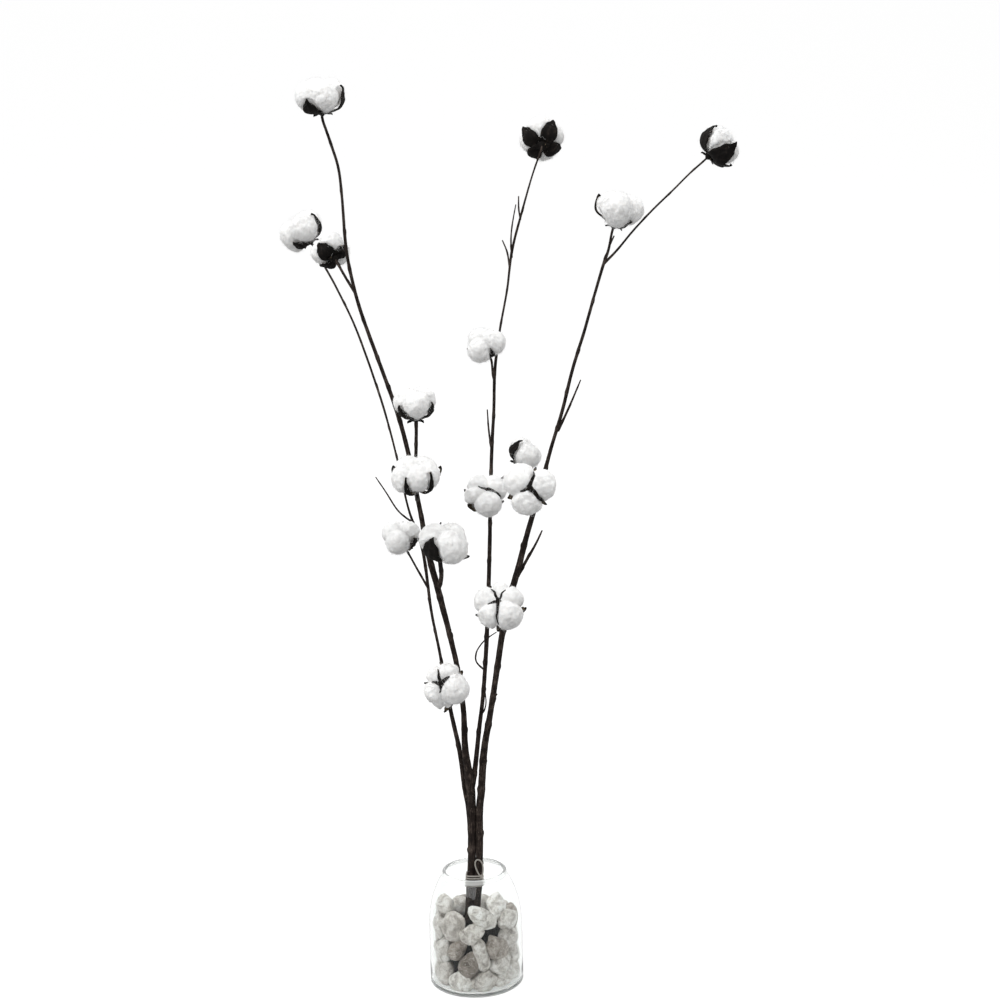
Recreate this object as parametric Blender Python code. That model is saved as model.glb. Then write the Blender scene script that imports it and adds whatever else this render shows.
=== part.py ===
"""Cotton stem bunch: dried cotton stems with open bolls, tied and stood in a glass jar of pebbles.

Metres, +Z up. The origin is the middle of the jar's flat underside, and the front faces -Y.
Three natural stems stand in holes in a dark foam block; pebbles fill the jar round the block.
"""
import math
import random

import bmesh
import bpy
from mathutils import Matrix, Vector

for old in list(bpy.data.objects):
    bpy.data.objects.remove(old, do_unlink=True)

# ------------------------------------------------------------------ driving dimensions
GAP = 0.0003                    # clearance between pieces that touch each other
SEED = 7                        # every random draw below starts from this number

JAR_RADIUS = 0.048
JAR_WALL = 0.0025
JAR_FLOOR = 0.003               # thickness of the glass under the pebbles
JAR_CORNER = 0.0020             # rounding between side and underside
JAR_SIDES = 30
SHOULDER_STEPS = 4
SHOULDER = ((0.048, 0.058), (0.048, 0.090), (0.039, 0.104), (0.0334, 0.1139))
RIM_CENTRE = (0.0308, 0.1164)   # the rounded rim is a bead round this radius and height
RIM_BEAD = 0.0026

FOAM_RADIUS = 0.026             # corner radius of the eight-sided block
FOAM_TOP = 0.060

PEBBLE_RING_LENGTH = 0.226      # length round the ring of pebbles, at its middle radius
PEBBLE_COUNT = 28
PEBBLE_POINTS = 13              # corner points of one pebble
PEBBLE_TOP = 0.066              # highest middle of a pebble in the ring

TWINE_RADIUS = 0.0008
TIE_BOTTOM = 0.1015
TIE_TURNS = 4.4
TIE_PITCH = 0.0026
TIE_POINTS = 12                 # points in one turn of the twine
KNOT_RADIUS = 0.0019
KNOT_TURN = math.radians(-65)   # the knot sits at the front right
LOOP_WIDTH = 0.0036             # half sizes of the loop that stands up from the knot
LOOP_HEIGHT = 0.0080

VALVE_THICKNESS = 0.0011        # a dried bur valve
VALVE_CLEAR = 0.0013            # room between a valve and the highest cotton under it
SEPTUM_RADIUS = 0.0009          # the rib that runs on from a valve over the cotton
SEPTUM_CLEAR = 0.0010           # room between that rib and the cotton under it
BRACTS = 2                      # dry leaf scales under each bur
CORE = 0.50                     # the cotton's smooth middle, as a part of the boll's size
LOCK_SIDES = 16                 # points round one cotton head
LOCK_RINGS = 6                  # points from top to bottom of one cotton head

STEM_SPACING = 0.032            # between the rings of points along a stem
TWIG_SPACING = 0.014

# Stem routes, bottom to top: x, y, z and radius. They are led by hand and smoothed in code.
LEFT_STEM = [
    (-0.0092, 0.0076, 0.0403, 0.0022), (-0.0082, 0.0076, 0.061, 0.0022), (-0.0044, 0.0076, 0.1175, 0.0022),
    (-0.0034, 0.0076, 0.150, 0.0022), (-0.0049, 0.0074, 0.182, 0.0022), (-0.008, 0.0075, 0.204, 0.0022),
    (-0.012, 0.008, 0.243, 0.0022), (-0.020, 0.011, 0.285, 0.0020), (-0.030, 0.016, 0.347, 0.0014),
    (-0.037, 0.020, 0.387, 0.0014), (-0.044, 0.026, 0.448, 0.0016), (-0.057, 0.031, 0.489, 0.0011),
    (-0.065, 0.036, 0.529, 0.0010), (-0.074, 0.042, 0.569, 0.0010), (-0.085, 0.048, 0.609, 0.0011),
    (-0.105, 0.056, 0.669, 0.0010), (-0.123, 0.062, 0.709, 0.0010), (-0.135, 0.0655, 0.732, 0.0010),
]
FORKED_STEM = [
    (-0.0088, 0.0, 0.0403, 0.0039), (-0.0075, 0.0, 0.061, 0.0039), (-0.0030, 0.0, 0.1175, 0.0039),
    (-0.0015, 0.0, 0.150, 0.0039), (-0.0010, 0.0, 0.182, 0.0040), (-0.0018, -0.001, 0.212, 0.0041),
    (-0.0058, -0.003, 0.247, 0.0032), (-0.0065, -0.006, 0.290, 0.0026), (-0.011, -0.009, 0.332, 0.0024),
    (-0.019, -0.012, 0.374, 0.0026), (-0.028, -0.016, 0.416, 0.0030), (-0.037, -0.020, 0.457, 0.0028),
    (-0.043, -0.025, 0.498, 0.0022), (-0.053, -0.032, 0.559, 0.0021), (-0.062, -0.037, 0.598, 0.0019),
    (-0.074, -0.043, 0.637, 0.0017), (-0.092, -0.051, 0.695, 0.0016), (-0.100, -0.056, 0.733, 0.0015),
    (-0.103, -0.060, 0.761, 0.0014), (-0.104, -0.064, 0.797, 0.0012), (-0.106, -0.067, 0.825, 0.0012),
    (-0.111, -0.069, 0.845, 0.0012),
]
MIDDLE_BRANCH = [
    (-0.0018, 0.0, 0.196, 0.0030), (0.0035, 0.002, 0.226, 0.0025), (0.0085, 0.006, 0.265, 0.0021),
    (0.014, 0.010, 0.305, 0.0020), (0.019, 0.017, 0.366, 0.0021), (0.023, 0.025, 0.436, 0.0020),
    (0.025, 0.031, 0.487, 0.0018), (0.028, 0.038, 0.547, 0.0017), (0.031, 0.043, 0.586, 0.0015),
    (0.033, 0.048, 0.626, 0.0015), (0.039, 0.053, 0.666, 0.0011), (0.047, 0.058, 0.705, 0.0010),
    (0.053, 0.063, 0.744, 0.0012), (0.064, 0.067, 0.783, 0.0010), (0.075, 0.0705, 0.818, 0.0008),
]
RIGHT_STEM = [
    (-0.0008, -0.001, 0.0403, 0.0035), (0.0004, -0.001, 0.061, 0.0035), (0.0048, -0.001, 0.1175, 0.0035),
    (0.0063, -0.001, 0.150, 0.0035), (0.0070, -0.001, 0.182, 0.0035), (0.0095, -0.002, 0.205, 0.0035),
    (0.0133, -0.004, 0.247, 0.0033), (0.021, -0.007, 0.289, 0.0028), (0.028, -0.010, 0.331, 0.0028),
    (0.038, -0.014, 0.389, 0.0030), (0.051, -0.018, 0.435, 0.0030), (0.062, -0.022, 0.475, 0.0025),
    (0.074, -0.026, 0.515, 0.0022), (0.085, -0.030, 0.555, 0.0017), (0.097, -0.034, 0.594, 0.0016),
    (0.107, -0.038, 0.633, 0.0015), (0.119, -0.042, 0.671, 0.0014), (0.130, -0.046, 0.709, 0.0013),
    (0.138, -0.049, 0.735, 0.0014), (0.142, -0.050, 0.746, 0.0012),
]
RIGHT_BRANCH = [
    (0.1375, -0.049, 0.733, 0.0013), (0.150, -0.046, 0.745, 0.0010), (0.166, -0.042, 0.763, 0.0009),
    (0.185, -0.037, 0.782, 0.0009), (0.205, -0.032, 0.800, 0.0008), (0.220, -0.028, 0.814, 0.0008),
]

# Bare side twigs: the stem each grows from, and its route out from that stem.
TWIGS = [
    ("left_stem", [(-0.0520, 0.0290, 0.476, 0.0011), (-0.0600, 0.0295, 0.481, 0.0009),
                   (-0.0690, 0.0300, 0.490, 0.0008), (-0.079, 0.030, 0.507, 0.0007), (-0.089, 0.030, 0.523, 0.0005)]),
    ("left_stem", [(-0.0195, 0.011, 0.282, 0.0012), (-0.0238, 0.0098, 0.291, 0.0006)]),
    ("forked_stem", [(0.050, 0.0605, 0.727, 0.0009), (0.048, 0.0635, 0.742, 0.0008),
                     (0.0435, 0.066, 0.754, 0.0006)]),
    ("forked_stem", [(0.0525, 0.0625, 0.737, 0.0010), (0.0520, 0.0590, 0.754, 0.0008),
                     (0.0535, 0.0565, 0.769, 0.0007), (0.0575, 0.054, 0.789, 0.0005)]),
    ("forked_stem", [(0.0620, 0.0665, 0.774, 0.0009), (0.0605, 0.0690, 0.785, 0.0008),
                     (0.0607, 0.0715, 0.797, 0.0006)]),
    ("forked_stem", [(0.028, 0.037, 0.544, 0.0011), (0.0255, 0.0345, 0.567, 0.0009),
                     (0.0245, 0.0335, 0.588, 0.0006)]),
    ("forked_stem", [(0.0152, 0.0115, 0.326, 0.0009), (0.0095, 0.003, 0.334, 0.0008),
                     (0.0070, -0.002, 0.341, 0.0008), (0.0085, -0.0045, 0.350, 0.0007),
                     (0.0145, -0.0055, 0.359, 0.0007), (0.0215, -0.0045, 0.3645, 0.0006),
                     (0.0285, -0.0025, 0.3685, 0.0005)]),
    ("forked_stem", [(0.0105, 0.0075, 0.279, 0.0009), (0.0150, 0.0030, 0.288, 0.0007),
                     (0.0163, 0.0020, 0.296, 0.0006), (0.0155, 0.0030, 0.306, 0.0005)]),
    ("right_stem", [(0.0505, -0.0178, 0.428, 0.0018), (0.0605, -0.0130, 0.4445, 0.0014),
                    (0.0695, -0.0090, 0.459, 0.0011), (0.0760, -0.0060, 0.4715, 0.0007)]),
    ("right_stem", [(0.0925, -0.0328, 0.574, 0.0014), (0.1010, -0.036, 0.592, 0.0011),
                    (0.1080, -0.039, 0.608, 0.0009), (0.1145, -0.042, 0.6235, 0.0006)]),
    ("right_stem", [(0.0232, -0.0080, 0.302, 0.0018), (0.0275, -0.0082, 0.3062, 0.0008)]),
    ("right_stem", [(0.143, -0.0500, 0.750, 0.0010), (0.1475, -0.0480, 0.7585, 0.0006)]),
]

# Bolls: middle; direction it opens in; size; its valves; how far from that direction the cotton
# locks hang (degrees); the stem it grows from; and the route of its stalk. A stalk with no route is
# the end of the stem or branch itself. A valve is the direction round the boll in which it stands
# (degrees, 0 along +X), its breadth, and how near the open end its tip reaches (degrees).
BOLLS = [
    ((-0.1196, -0.072, 0.8885), (-0.05, -0.20, 0.95), 0.0215,
     ((-118, 1.15, 80), (-10, 0.95, 60), (70, 0.40, 70), (158, 0.40, 60)), 74, "forked_stem", []),
    ((-0.1550, 0.066, 0.7672), (-0.50, -0.10, 0.80), 0.0208,
     ((-8, 0.80, 58), (100, 0.40, 66), (-128, 1.20, 96)), 76, "left_stem", []),
    ((-0.1189, -0.030, 0.7496), (-0.36, 0.70, 0.60), 0.0175,
     ((-130, 1.35, 86), (-38, 1.20, 110), (128, 1.10, 84)), 72, "forked_stem",
     [(-0.0965, -0.0535, 0.712, 0.0013), (-0.1030, -0.0495, 0.7225, 0.0012)]),
    ((-0.0428, -0.056, 0.6025), (0.0, -0.15, 1.0), 0.0200,
     ((-24, 1.10, 68), (98, 0.40, 70), (-140, 1.30, 74)), 62, "forked_stem",
     [(-0.0482, -0.0285, 0.529, 0.0017), (-0.0452, -0.0345, 0.549, 0.0016)]),
    ((-0.0442, -0.061, 0.5360), (0.0, -0.30, 0.92), 0.0225,
     ((-112, 0.45, 64), (-48, 0.45, 58), (8, 0.40, 66), (90, 0.35, 70), (172, 0.60, 62)), 72, "forked_stem",
     [(-0.0452, -0.0265, 0.508, 0.0018)]),
    ((-0.0641, 0.003, 0.4650), (-0.34, -0.35, 0.85), 0.0180,
     ((-30, 1.05, 84), (75, 0.35, 70), (-172, 0.35, 104)), 76, "left_stem",
     [(-0.0398, 0.0225, 0.410, 0.0012), (-0.0500, 0.0165, 0.4315, 0.0010)]),
    ((-0.0197, -0.051, 0.4700), (0.20, -0.20, 0.90), 0.0225,
     ((-126, 1.35, 60), (-6, 0.35, 106), (112, 0.40, 50)), 70, "forked_stem",
     [(-0.0278, -0.0165, 0.417, 0.0022), (-0.0240, -0.0275, 0.432, 0.0021)]),
    ((0.0853, 0.082, 0.8515), (0.06, 0.88, 0.45), 0.0215,
     ((-148, 1.15, 82), (-58, 1.15, 78), (27, 1.20, 86), (129, 1.00, 92)), 70, "forked_stem", []),
    ((0.0243, 0.026, 0.6522), (-0.30, -0.35, 0.85), 0.0185,
     ((-68, 0.50, 80), (52, 0.40, 70), (178, 0.50, 80)), 76, "forked_stem",
     [(0.0325, 0.0465, 0.612, 0.0013), (0.0308, 0.040, 0.6235, 0.0011)]),
    ((0.0208, 0.000, 0.5068), (0.20, -0.80, 0.56), 0.0205,
     ((-140, 0.80, 82), (-20, 0.55, 82), (92, 0.40, 96), (165, 0.40, 96)), 74, "forked_stem",
     [(0.0246, 0.0300, 0.482, 0.0015), (0.0220, 0.0225, 0.4905, 0.0014)]),
    ((0.0596, 0.030, 0.5409), (0.65, -0.10, 0.70), 0.0170,
     ((-20, 0.40, 98), (85, 0.40, 80), (-158, 1.10, 48)), 66, "forked_stem",
     [(0.0257, 0.0330, 0.506, 0.0011), (0.0345, 0.0330, 0.515, 0.0010)]),
    ((0.0625, -0.0615, 0.5235), (0.02, -0.95, 0.20), 0.0242,
     ((-46, 0.40, 90), (70, 0.40, 92), (206, 0.55, 84)), 72, "right_stem",
     [(0.0690, -0.0245, 0.500, 0.0017), (0.0640, -0.0335, 0.5125, 0.0015)]),
    ((0.2480, -0.018, 0.8375), (0.70, 0.05, 0.62), 0.0190,
     ((-68, 1.45, 52), (-4, 1.20, 92), (92, 0.45, 50), (-156, 1.25, 54)), 66, "right_branch", []),
    ((0.1502, -0.058, 0.7797), (0.28, -0.10, 0.95), 0.0205,
     ((-38, 0.45, 100), (62, 0.40, 70), (172, 0.45, 60)), 60, "right_stem", []),
    ((0.0327, -0.0565, 0.4062), (-0.10, -0.80, 0.60), 0.0245,
     ((-97, 0.40, 80), (-6, 0.60, 78), (62, 0.40, 92), (112, 0.40, 92), (192, 0.45, 92)), 72, "right_stem",
     [(0.0360, -0.0135, 0.380, 0.0019), (0.0356, -0.0270, 0.3885, 0.0017)]),
    ((-0.0213, -0.038, 0.3251), (-0.34, -0.86, 0.36), 0.0215,
     ((168, 0.40, 92), (-100, 0.55, 92), (40, 0.45, 92), (108, 0.40, 92)), 72, "left_stem",
     [(-0.0205, 0.0108, 0.287, 0.0015), (-0.0200, -0.004, 0.298, 0.0013), (-0.0132, -0.0180, 0.310, 0.0012)]),
]
# Bolls whose locks have parted, so that the dark ribs between them show as a star.
STARS = (10, 12, 15, 16)
# Locks that hang out of line: the boll, then the direction round it and from the way it opens
# (degrees), and their reach and radius in boll sizes.
HANGING_LOCKS = {
    2: [(163, 117, 0.74, 0.31)],
    7: [(-55, 96, 0.54, 0.53), (-12, 98, 0.52, 0.50)],
    14: [(170, 66, 0.62, 0.40), (5, 62, 0.66, 0.40), (-90, 96, 0.36, 0.52)],
    16: [(-110, 98, 0.66, 0.40)],
}

# Stones against the glass at the front: turn round the jar (degrees), height of the middle, half
# length, half width, and lean of the length from level (degrees).
FRONT_STONES = [
    (-77, 0.0785, 0.0148, 0.0080, -42), (-24, 0.0700, 0.0132, 0.0100, 10), (-128, 0.0690, 0.0132, 0.0122, 70),
    (-94, 0.0640, 0.0112, 0.0096, 15), (-172, 0.0600, 0.0132, 0.0100, 85), (-25, 0.0515, 0.0122, 0.0108, 20),
    (-154, 0.0400, 0.0126, 0.0096, 80), (-121, 0.0462, 0.0108, 0.0086, 65), (-55, 0.0470, 0.0136, 0.0104, -50),
    (-81, 0.0405, 0.0150, 0.0082, -72), (-101, 0.0312, 0.0124, 0.0094, 70), (-47, 0.0280, 0.0114, 0.0098, 30),
    (-5, 0.0280, 0.0130, 0.0096, 90), (-152, 0.0145, 0.0128, 0.0104, 80), (-115, 0.0128, 0.0122, 0.0112, 45),
    (-76, 0.0130, 0.0126, 0.0112, 15), (-38, 0.0100, 0.0114, 0.0088, 5), (-8, 0.0110, 0.0096, 0.0086, 0),
    (-178, 0.0330, 0.0112, 0.0092, 85),
]


# ------------------------------------------------------------------ materials
def material(name, colour, roughness, metallic=0.0, transmission=0.0):
    made = bpy.data.materials.new(name)
    made.use_nodes = True
    shader = made.node_tree.nodes["Principled BSDF"]
    shader.inputs["Base Color"].default_value = (*colour, 1.0)
    shader.inputs["Roughness"].default_value = roughness
    shader.inputs["Metallic"].default_value = metallic
    shader.inputs["Transmission Weight"].default_value = transmission
    return made


GLASS = material("clear_glass", (0.95, 0.97, 0.97), 0.03, transmission=1.0)
FOAM = material("dark_foam", (0.024, 0.024, 0.027), 0.95)
STONE = material("pale_pebble", (0.47, 0.44, 0.41), 0.75)
BARK = material("dark_bark", (0.045, 0.035, 0.030), 0.85)
BUR = material("dried_bur", (0.022, 0.016, 0.013), 0.75)
COTTON = material("white_cotton", (0.90, 0.90, 0.88), 0.95)
TWINE = material("pale_twine", (0.38, 0.36, 0.32), 0.90)


# ------------------------------------------------------------------ mesh helpers
def mesh_object(name, points, faces, finish):
    """A closed mesh from its points and faces, with its faces turned outwards."""
    mesh = bpy.data.meshes.new(name)
    mesh.from_pydata([tuple(p) for p in points], [], faces)
    mesh.materials.append(finish)
    work = bmesh.new()
    work.from_mesh(mesh)
    bmesh.ops.recalc_face_normals(work, faces=work.faces)
    bmesh.ops.triangulate(work, faces=work.faces)
    work.to_mesh(mesh)
    work.free()
    made = bpy.data.objects.new(name, mesh)
    bpy.context.scene.collection.objects.link(made)
    return made


def drop_shells(mesh):
    """Keep the largest body of a fused mesh: sealed hollows and loose scraps are removed."""
    work = bmesh.new()
    work.from_mesh(mesh)
    left = set(work.faces)
    shells = []
    while left:
        front = [left.pop()]
        shell = []
        while front:
            face = front.pop()
            shell.append(face)
            for edge in face.edges:
                for other in edge.link_faces:
                    if other in left:
                        left.remove(other)
                        front.append(other)
        shells.append(shell)
    shells.sort(key=len)
    for shell in shells[:-1]:
        bmesh.ops.delete(work, geom=shell, context="FACES")
    work.to_mesh(mesh)
    work.free()


def fuse(name, first, others):
    """Join solids into one body."""
    group = bpy.data.collections.new(name + "_parts")
    for other in others:
        group.objects.link(other)
    boolean = first.modifiers.new("join", "BOOLEAN")
    boolean.operation = "UNION"
    boolean.operand_type = "COLLECTION"
    boolean.collection = group
    boolean.solver = "MANIFOLD"
    bpy.context.view_layer.update()
    graph = bpy.context.evaluated_depsgraph_get()
    mesh = bpy.data.meshes.new_from_object(first.evaluated_get(graph))
    for other in others:
        bpy.data.objects.remove(other, do_unlink=True)
    first.modifiers.clear()
    first.data = mesh
    first.name = name
    mesh.name = name
    drop_shells(mesh)
    work = bmesh.new()
    work.from_mesh(mesh)
    bmesh.ops.triangulate(work, faces=work.faces)
    work.to_mesh(mesh)
    work.free()


def smooth_route(route, spacing):
    """Points every spacing or so along a Catmull-Rom curve; each is a position with a radius."""
    points = [Vector(p) for p in route]
    points = [points[0] * 2 - points[1]] + points + [points[-1] * 2 - points[-2]]
    out = []
    for i in range(1, len(points) - 2):
        a, b, c, d = points[i - 1:i + 3]
        steps = max(1, round((c - b).length / spacing))
        for k in range(steps):
            t = k / steps
            out.append(0.5 * (2 * b + (c - a) * t + (2 * a - 5 * b + 4 * c - d) * t * t
                              + (3 * b - a - 3 * c + d) * t ** 3))
    out.append(points[-2])
    return [(p.xyz, p.w) for p in out]


def tube(name, stations, sides, finish):
    """A closed tube through stations of position and radius, with flat ends."""
    points = []
    faces = []
    across = None
    for i, (centre, radius) in enumerate(stations):
        before = stations[max(i - 1, 0)][0]
        after = stations[min(i + 1, len(stations) - 1)][0]
        along = (after - before).normalized()
        if across is None:
            across = along.orthogonal().normalized()
        across = (across - along * across.dot(along)).normalized()
        beside = along.cross(across)
        for k in range(sides):
            turn = 2 * math.pi * k / sides
            points.append(centre + radius * (math.cos(turn) * across + math.sin(turn) * beside))
        if i:
            low = (i - 1) * sides
            for k in range(sides):
                nxt = (k + 1) % sides
                faces.append((low + k, low + nxt, low + sides + nxt, low + sides + k))
    faces.append(tuple(range(sides - 1, -1, -1)))
    faces.append(tuple(range(len(points) - sides, len(points))))
    return mesh_object(name, points, faces, finish)


def hull_object(name, points, finish):
    """The convex solid round some points."""
    work = bmesh.new()
    for point in points:
        work.verts.new(point)
    bmesh.ops.convex_hull(work, input=work.verts)
    loose = [v for v in work.verts if not v.link_faces]
    bmesh.ops.delete(work, geom=loose, context="VERTS")
    mesh = bpy.data.meshes.new(name)
    work.to_mesh(mesh)
    work.free()
    mesh.materials.append(finish)
    made = bpy.data.objects.new(name, mesh)
    bpy.context.scene.collection.objects.link(made)
    return made


# ------------------------------------------------------------------ jar
def bezier(corners, t):
    a, b, c, d = [Vector(p) for p in corners]
    return a * (1 - t) ** 3 + b * 3 * t * (1 - t) ** 2 + c * 3 * t * t * (1 - t) + d * t ** 3


def shoulder_points(inset, steps):
    """Radius and height along the shoulder, moved inwards by inset, bottom to top."""
    points = []
    for i in range(steps + 1):
        t = i / steps
        here = bezier(SHOULDER, t)
        slope = (bezier(SHOULDER, min(t + 0.01, 1)) - bezier(SHOULDER, max(t - 0.01, 0))).normalized()
        points.append((here.x - inset * slope.y, here.y + inset * slope.x))
    return points


def arc_points(centre, radius, start, end, steps):
    """Points on an arc, from one angle to another in degrees."""
    turns = [math.radians(start + (end - start) * i / steps) for i in range(steps + 1)]
    return [(centre[0] + radius * math.cos(a), centre[1] + radius * math.sin(a)) for a in turns]


def jar_inside(height):
    """Inner radius of the jar at a height."""
    inner = shoulder_points(JAR_WALL, SHOULDER_STEPS)
    if height <= inner[0][1]:
        return JAR_RADIUS - JAR_WALL
    for low, high in zip(inner, inner[1:]):
        if height <= high[1]:
            part = (height - low[1]) / (high[1] - low[1])
            return low[0] + (high[0] - low[0]) * part
    return inner[-1][0]


def make_jar():
    outer_corner = (JAR_RADIUS - JAR_CORNER, JAR_CORNER)
    inner_radius = JAR_RADIUS - JAR_WALL
    inner_corner = (inner_radius - JAR_CORNER, JAR_FLOOR + JAR_CORNER)
    profile = arc_points(outer_corner, JAR_CORNER, -90, 0, 2)
    profile += shoulder_points(0.0, SHOULDER_STEPS)
    profile += arc_points(RIM_CENTRE, RIM_BEAD, 20, 190, 3)
    profile += shoulder_points(JAR_WALL, SHOULDER_STEPS)[::-1]
    profile += arc_points(inner_corner, JAR_CORNER, 0, -90, 2)
    points = []
    faces = []
    for radius, height in profile:
        for k in range(JAR_SIDES):
            turn = 2 * math.pi * k / JAR_SIDES
            points.append((radius * math.cos(turn), radius * math.sin(turn), height))
    for i in range(len(profile) - 1):
        for k in range(JAR_SIDES):
            nxt = (k + 1) % JAR_SIDES
            low = i * JAR_SIDES
            faces.append((low + k, low + nxt, low + JAR_SIDES + nxt, low + JAR_SIDES + k))
    faces.append(tuple(range(JAR_SIDES - 1, -1, -1)))
    faces.append(tuple(range(len(points) - JAR_SIDES, len(points))))
    jar = mesh_object("glass_jar", points, faces, GLASS)
    jar.data.shade_smooth()
    jar.data.set_sharp_from_angle(angle=math.radians(40))


# ------------------------------------------------------------------ foam block
def make_foam():
    block = tube("foam_block", [(Vector((0, 0, JAR_FLOOR + GAP)), FOAM_RADIUS),
                                (Vector((0, 0, FOAM_TOP)), FOAM_RADIUS * 0.97)], 8, FOAM)
    holes = []
    for route in (LEFT_STEM, FORKED_STEM, RIGHT_STEM):
        foot, rise = Vector(route[0][:3]), Vector(route[1][:3])
        along = (rise - foot).normalized()
        radius = route[0][3] + 2 * GAP
        ends = [(foot - along * GAP, radius), (rise + along * 0.03, radius)]
        holes.append(tube("hole", ends, 10, FOAM))
    boolean_cut(block, holes)


def boolean_cut(block, holes):
    """Cut each of the holes from a block."""
    for hole in holes:
        boolean = block.modifiers.new("cut", "BOOLEAN")
        boolean.operation = "DIFFERENCE"
        boolean.object = hole
    bpy.context.view_layer.update()
    graph = bpy.context.evaluated_depsgraph_get()
    mesh = bpy.data.meshes.new_from_object(block.evaluated_get(graph))
    block.modifiers.clear()
    block.data = mesh
    for hole in holes:
        bpy.data.objects.remove(hole, do_unlink=True)


# ------------------------------------------------------------------ pebbles
def pebble_places():
    """Way round the ring, height, half sizes and lean of each pebble of the ring.

    The stones at the front lie where they are set. The rest settle until neighbours just meet.
    """
    draw = random.Random(SEED)
    per_radian = PEBBLE_RING_LENGTH / (2 * math.pi)
    fixed = [(math.radians(turn) * per_radian, height, 0.5 * (long_half + wide_half))
             for turn, height, long_half, wide_half, lean in FRONT_STONES]
    stones = []
    for i in range(PEBBLE_COUNT):
        size = draw.uniform(0.0090, 0.0122)
        stones.append([draw.uniform(0.25, 2.9) * per_radian, draw.uniform(0.012, 0.080), size])
    for turn in range(400):
        for stone in stones:
            stone[1] -= 0.0004
        for i, one in enumerate(stones):
            for two in stones[:i] + fixed:
                along = one[0] - two[0]
                along -= PEBBLE_RING_LENGTH * round(along / PEBBLE_RING_LENGTH)
                up = one[1] - two[1]
                apart = math.hypot(along, up) + 1e-9
                overlap = 0.93 * (one[2] + two[2]) - apart
                if overlap > 0:
                    loose = isinstance(two, list)
                    push = (0.5 if loose else 1.0) * overlap / apart
                    one[0] += along * push
                    one[1] += up * push
                    if loose:
                        two[0] -= along * push
                        two[1] -= up * push
        for stone in stones:
            stone[1] = max(stone[1], JAR_FLOOR + 0.9 * stone[2])
            stone[1] = min(stone[1], PEBBLE_TOP)
    places = [(math.radians(turn), height, 1.10 * long_half, 1.10 * wide_half, math.radians(lean))
              for turn, height, long_half, wide_half, lean in FRONT_STONES]
    for along, height, size in stones:
        places.append((along / per_radian, height, size * 1.18, size * 0.98, draw.uniform(-1.2, 1.2)))
    return places


def pebble_points(draw, centre, outward, halves, lean):
    """Corner points of one pebble: long, wide and deep half sizes, leaning in the ring's face."""
    outward = outward.normalized()
    beside = Vector((0, 0, 1)).cross(outward).normalized()
    above = outward.cross(beside)
    long_way = beside * math.cos(lean) + above * math.sin(lean)
    wide_way = outward.cross(long_way)
    points = []
    for i in range(PEBBLE_POINTS):
        level = 1 - 2 * (i + 0.5) / PEBBLE_POINTS
        turn = i * 2.39996 + draw.uniform(-0.25, 0.25)
        ring = math.sqrt(1 - level * level)
        rough = draw.uniform(0.90, 1.10)
        offset = (long_way * level * halves[0] + wide_way * math.cos(turn) * ring * halves[1]
                  + outward * math.sin(turn) * ring * halves[2])
        points.append(centre + offset * rough)
    return points


def keep_between(point, inner):
    """Move a pebble's point off the glass, the jar's floor and the foam block."""
    height = max(point.z, JAR_FLOOR + GAP)
    flat = Vector((point.x, point.y))
    outer = jar_inside(height) - 0.0007
    if height < JAR_FLOOR + JAR_CORNER:
        outer -= 0.0025
    reach = min(max(flat.length, inner), outer)
    flat = flat.normalized() * reach
    return Vector((flat.x, flat.y, height))


TOP_STONES = [
    # middle, half sizes (long, wide, deep) and lean in degrees, of the stones lying on top
    ((-0.0305, -0.0040, 0.0805), (0.0128, 0.0102, 0.0092), 78),
    ((0.0215, -0.0130, 0.0830), (0.0128, 0.0118, 0.0092), 20),
    ((0.0260, 0.0150, 0.0690), (0.0120, 0.0100, 0.0095), 10),
    ((-0.0180, 0.0230, 0.0690), (0.0120, 0.0105, 0.0095), -20),
    ((0.0040, 0.0290, 0.0680), (0.0120, 0.0100, 0.0095), 15),
    ((-0.0215, -0.0160, 0.0690), (0.0110, 0.0100, 0.0090), 30),
]


def make_pebbles():
    draw = random.Random(SEED + 1)
    stones = []
    inner = FOAM_RADIUS + 0.0012
    for turn, height, long_half, wide_half, lean in pebble_places():
        outward = Vector((math.cos(turn), math.sin(turn), 0))
        middle = 0.5 * (jar_inside(height) + FOAM_RADIUS)
        centre = outward * middle + Vector((0, 0, height))
        halves = (long_half, wide_half, 0.0098)
        points = pebble_points(draw, centre, outward, halves, lean)
        points = [keep_between(p, inner) for p in points]
        stones.append(hull_object("pebble", points, STONE))
    for centre, halves, lean in TOP_STONES:
        centre = Vector(centre)
        outward = Vector((centre.x, centre.y, 0))
        points = pebble_points(draw, centre, outward, halves, math.radians(lean))
        points = [keep_between(p, 0.0150 if p.z > FOAM_TOP + 0.001 else inner) for p in points]
        stones.append(hull_object("pebble", points, STONE))
    fuse("pebbles", stones[0], stones[1:])


# ------------------------------------------------------------------ bolls
def boll_frame(axis):
    """The boll's own axes: x and y round it, z in the direction in which it opens."""
    up = Vector(axis).normalized()
    side = (Vector((1, 0, 0)) - up * up.x).normalized()
    return Matrix((side, up.cross(side), up)).transposed()


def boll_base(boll):
    """Where the stalk meets the boll: the middle of the bur's flat underside."""
    centre, axis, size = boll[:3]
    return Vector(centre) - Vector(axis).normalized() * (CORE * size + 0.0042)


def direction(fall, turn):
    """Unit vector in the boll's own axes: fall from the axis it opens along, turned round it."""
    return Vector((math.sin(fall) * math.cos(turn), math.sin(fall) * math.sin(turn), math.cos(fall)))


def valve_turns(valves):
    """Directions round the boll in which its valves stand, in order and in radians."""
    return sorted(math.radians(valve[0] % 360) for valve in valves)


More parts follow.
